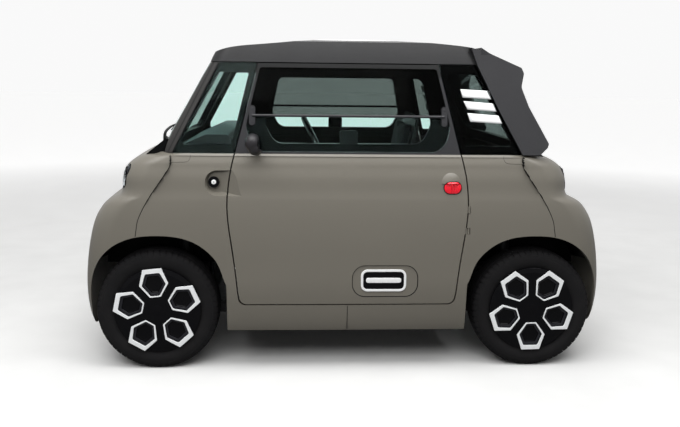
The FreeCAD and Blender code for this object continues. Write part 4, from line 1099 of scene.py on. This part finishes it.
def wiper():
    """Single wiper: pivot cap, sprung arm and blade on the windscreen."""
    def on_screen(y, z, h):
        hit = tree("windscreen").ray_cast(Vector((1.6, y, z)), Vector((-1, 0, 0)))[0]
        return Vector(((hit.x if hit else 0.83) + h, y, z))

    cap = Vector((0.866, 0.30, 1.034))
    v, f = tube([cap + Vector((-0.03, 0, -0.012)), cap, cap + Vector((0.004, 0, 0.002))], 0.016, 20, radii=[0.016, 0.0155, 0.011])
    build("wiper_cap", v, f, black_trim, "body", "black_trim")
    blade = [on_screen(0.34 - 0.64 * t, 1.080 + 0.012 * math.sin(math.pi * t), 0.012) for t in [k / 24 for k in range(25)]]
    v, f = tube(blade, 0.0045, 8, radii=[0.0025 + 0.003 * math.sin(math.pi * min(1, max(0, k / 24))) for k in range(25)])
    build("wiper_blade", v, f, black_trim, "body", "black_trim")
    lip = [p + Vector((-0.007, 0, -0.003)) for p in blade]
    v, f = tube(lip, 0.0028, 6)
    build("wiper_rubber", v, f, tyre_rubber, "body", "black_trim")
    middle = blade[12] + Vector((0.008, 0, 0))
    arm = smooth_path([cap, cap + Vector((0.004, -0.05, 0.028)), cap.lerp(middle, 0.6) + Vector((0.012, 0, 0.012)), middle], 8)
    v, f = tube(arm, 0.006, 8, radii=[0.0085 - 0.004 * k / (len(arm) - 1) for k in range(len(arm))])
    build("wiper_arm", v, f, black_trim, "body", "black_trim")


wiper()


# ---------------------------------------------------------------- seats
def box_grid(points, n):
    """Closed skin over a side outline (x, z) drawn out between two y planes, with rounded long edges."""
    (outline, y0, y1, r) = points
    rings = []
    steps = [(y0, r), (y0 + r * 0.3, r * 0.3), (y0 + r, 0.0)]
    inner = [y0 + r + (y1 - y0 - 2 * r) * k / n for k in range(1, n)]
    steps += [(y, 0.0) for y in inner]
    steps += [(y1 - r, 0.0), (y1 - r * 0.3, r * 0.3), (y1, r)]
    for y, d in steps:
        rings.append([(u, y, v) for u, v in offset(outline, d)])
    return loft(rings, True, True, True)


def cushion(name, outline, y0, y1, channels):
    """A stuffed pad: the outline is blown up as cloth, with sewn channels across it."""
    dense = []
    for i, p in enumerate(outline):
        q = outline[(i + 1) % len(outline)]
        d = math.dist(p, q)
        for k in range(max(1, int(d / 0.012))):
            t = k / max(1, int(d / 0.012))
            dense.append((p[0] * (1 - t) + q[0] * t, p[1] * (1 - t) + q[1] * t))
    v, f = box_grid((dense, y0, y1, 0.012), 24)
    o = build(name, v, f, seat_cloth, "body", "seat_fabric", angle=80)
    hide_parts("seat_cushions")
    bpy.context.view_layer.objects.active = o
    o.select_set(True)
    rm = o.modifiers.new("remesh", "REMESH")
    rm.mode = "VOXEL"
    rm.voxel_size = 0.006
    bpy.ops.object.modifier_apply(modifier=rm.name)
    before = np.array([tuple(w.co) for w in o.data.vertices])
    pins = o.vertex_groups.new(name="sewn")
    (ax, az), (bx, bz) = channels
    way = np.array((bx - ax, bz - az))
    length = np.linalg.norm(way)
    way /= length
    along = (before[:, [0, 2]] - np.array((ax, az))) @ way
    for i, a in enumerate(along):
        t = a / length
        near = min(abs(t - q) for q in (0.0, 0.34, 0.67, 1.0)) * length
        side_gap = min(before[i][1] - y0, y1 - before[i][1])
        if (near < 0.006 and 0.02 < t < 0.98) or side_gap < 0.003:
            pins.add([i], 0.92 if side_gap >= 0.003 else 0.55, "REPLACE")
    c = o.modifiers.new("cloth", "CLOTH")
    c.settings.use_pressure = True
    c.settings.uniform_pressure_force = 4.0
    c.settings.effector_weights.gravity = 0.0
    c.settings.vertex_group_mass = "sewn"
    c.settings.quality = 6
    for fr in range(1, 21):
        bpy.context.scene.frame_set(fr)
    dg = bpy.context.evaluated_depsgraph_get()
    after = np.array([tuple(w.co) for w in o.evaluated_get(dg).data.vertices])
    move = after - before
    size = np.linalg.norm(move, axis=1)
    cap = 0.010
    scale = np.where(size > cap, cap / np.maximum(size, 1e-9), 1.0)
    after = before + move * scale[:, None]
    o.modifiers.remove(c)
    o.data.vertices.foreach_set("co", after.ravel())
    o.data.update()
    bpy.context.scene.frame_set(1)
    sub = o.modifiers.new("sub", "SUBSURF")
    sub.levels = 1
    sub.render_levels = 1
    bpy.ops.object.modifier_apply(modifier=sub.name)
    o.data.shade_smooth()
    o.select_set(False)
    return o


def piping(name, outline, y):
    v, f = tube([(u, y, w) for u, w in outline], 0.0032, 8, closed=True)
    build(name, v, f, dark_plastic, "body", "seat_fabric")


def seats():
    """Seat and back pads of both seats."""
    for where, cy, bx in (("left", 0.280, -0.215), ("right", -0.280, -0.295)):
        y0, y1 = cy - 0.180, cy + 0.180
        low = 0.5685
        pad = rounded([(bx + 0.070, low), (bx + 0.420, low), (bx + 0.422, low + 0.046), (bx + 0.074, low + 0.040)],
                      [0.008, 0.014, 0.020, 0.014], 5)
        cushion("seat_pad_" + where, pad, y0, y1, ((bx + 0.07, low), (bx + 0.42, low)))
        lean = Vector((-105, 575)).normalized()
        forward = Vector((lean.y, -lean.x))
        root = Vector((bx, 0.565))

        def on(s_, t):
            q = root + lean * s_ + forward * t
            return (q.x, q.y)

        back = rounded([on(0.070, 0.004), on(0.070, 0.044), on(0.556, 0.044), on(0.568, 0.004)], [0.008, 0.016, 0.020, 0.010], 5)
        cushion("seat_back_" + where, back, y0, y1, (on(0.07, 0.0), on(0.56, 0.0)))


seats()

# ---------------------------------------------------------------- camera, light, surroundings
cam = bpy.data.cameras.new("camera")
camera = bpy.data.objects.new("camera", cam)
bpy.context.scene.collection.objects.link(camera)
bpy.context.scene.camera = camera
cam.sensor_width = 36.0
cam.lens = 814.4 * 36.0 / 680.0
yaw, pitch, roll = math.radians(3.28), math.radians(9.59), math.radians(0.67)
fwd = Vector((-math.sin(yaw), -math.cos(yaw), 0))
right = Vector((-math.cos(yaw), math.sin(yaw), 0))
up = Vector((0, 0, 1))
fw = fwd * math.cos(pitch) - up * math.sin(pitch)
u_ = up * math.cos(pitch) + fwd * math.sin(pitch)
r2 = right * math.cos(roll) + u_ * math.sin(roll)
u2 = u_ * math.cos(roll) - right * math.sin(roll)
rot = Matrix((r2, u2, -fw)).transposed()
camera.matrix_world = Matrix.Translation((0.244, 4.271, 1.342)) @ rot.to_4x4()
cam.clip_start = 0.05
cam.clip_end = 60.0

world = bpy.data.worlds.new("studio")
bpy.context.scene.world = world
world.use_nodes = True
wn = world.node_tree
bg = wn.nodes["Background"]


def plain_view(tree_nodes, links, gloss):
    """1 for what the eye sees straight on or through glass, gloss for mirror images, 0 for light on the object."""
    path = tree_nodes.new("ShaderNodeLightPath")

    def step(op, a, b):
        n = tree_nodes.new("ShaderNodeMath")
        n.operation = op
        for k, v in enumerate((a, b)):
            if isinstance(v, float):
                n.inputs[k].default_value = v
            else:
                links.new(v, n.inputs[k])
        return n.outputs[0]

    direct = step("LESS_THAN", path.outputs["Diffuse Depth"], 0.5)
    through = step("MULTIPLY", path.outputs["Is Transmission Ray"], direct)
    mirrored = step("MULTIPLY", path.outputs["Is Glossy Ray"], gloss)
    return step("MAXIMUM", step("MAXIMUM", path.outputs["Is Camera Ray"], through), mirrored)


strength = wn.nodes.new("ShaderNodeMapRange")
strength.inputs["To Min"].default_value = 0.27
strength.inputs["To Max"].default_value = 0.95
wn.links.new(plain_view(wn.nodes, wn.links, 0.5), strength.inputs["Value"])
wn.links.new(strength.outputs["Result"], bg.inputs["Strength"])
bg.inputs["Color"].default_value = (1.0, 1.0, 1.0, 1.0)


def area(name, place, aim, size, power, size_y=None):
    d = bpy.data.lights.new(name, "AREA")
    d.shape = "RECTANGLE"
    d.size = size
    d.size_y = size_y or size
    d.energy = power
    o = bpy.data.objects.new(name, d)
    bpy.context.scene.collection.objects.link(o)
    o.location = place
    o.rotation_euler = (Vector(aim) - Vector(place)).to_track_quat("-Z", "Y").to_euler()
    return o


area("key", (0.1, 1.5, 4.0), (0, 0.2, 0.6), 6.0, 175, 2.6)
fill = area("fill", (1.0, 4.9, 3.9), (0, 0, 0.7), 4.5, 190, 2.2)
fill.visible_glossy = False
area("back", (-0.5, -3.4, 3.4), (0, 0, 0.9), 4.0, 70)


def floor():
    """Pale floor that keeps the shadow under the object and fades to the white of the backdrop."""
    m = Mat("studio_floor")
    n = m.noise(3.0, 5.0)
    seen = plain_view(m.nt.nodes, m.nt.links, 0.3)
    pale = m.ramp(n, [(0.3, srgb(226, 226, 225)), (0.7, srgb(232, 232, 231))])
    m.colour(m.mix(seen, srgb(70, 70, 70), pale))
    x, y, z = m.xyz()
    far = m.math("SQRT", m.math("ADD", m.math("MULTIPLY", x, x), m.math("MULTIPLY", y, y)))
    glow = m.math("MULTIPLY", m.span(far, 0.0, 0.72, 2.0, 9.0), seen)
    m.link(glow, m.b.inputs["Emission Strength"])
    m.link(m.ramp(n, [(0.3, (0.98, 0.98, 0.98)), (0.7, (1.0, 1.0, 1.0))]), m.b.inputs["Emission Color"])
    m.set(Roughness=0.75, Specular_IOR_Level=0.1)
    rings = []
    for r in (0.0, 3.0, 6.0, 12.0, 24.0, 60.0):
        rings.append([(max(r, 0.001) * math.cos(a), max(r, 0.001) * math.sin(a), 0.0) for a in (2 * math.pi * k / 64 for k in range(64))])
    v, f = loft(rings)
    o = build("studio_floor", v, f, m, None)


floor()

scene = bpy.context.scene
scene.view_settings.view_transform = "Standard"
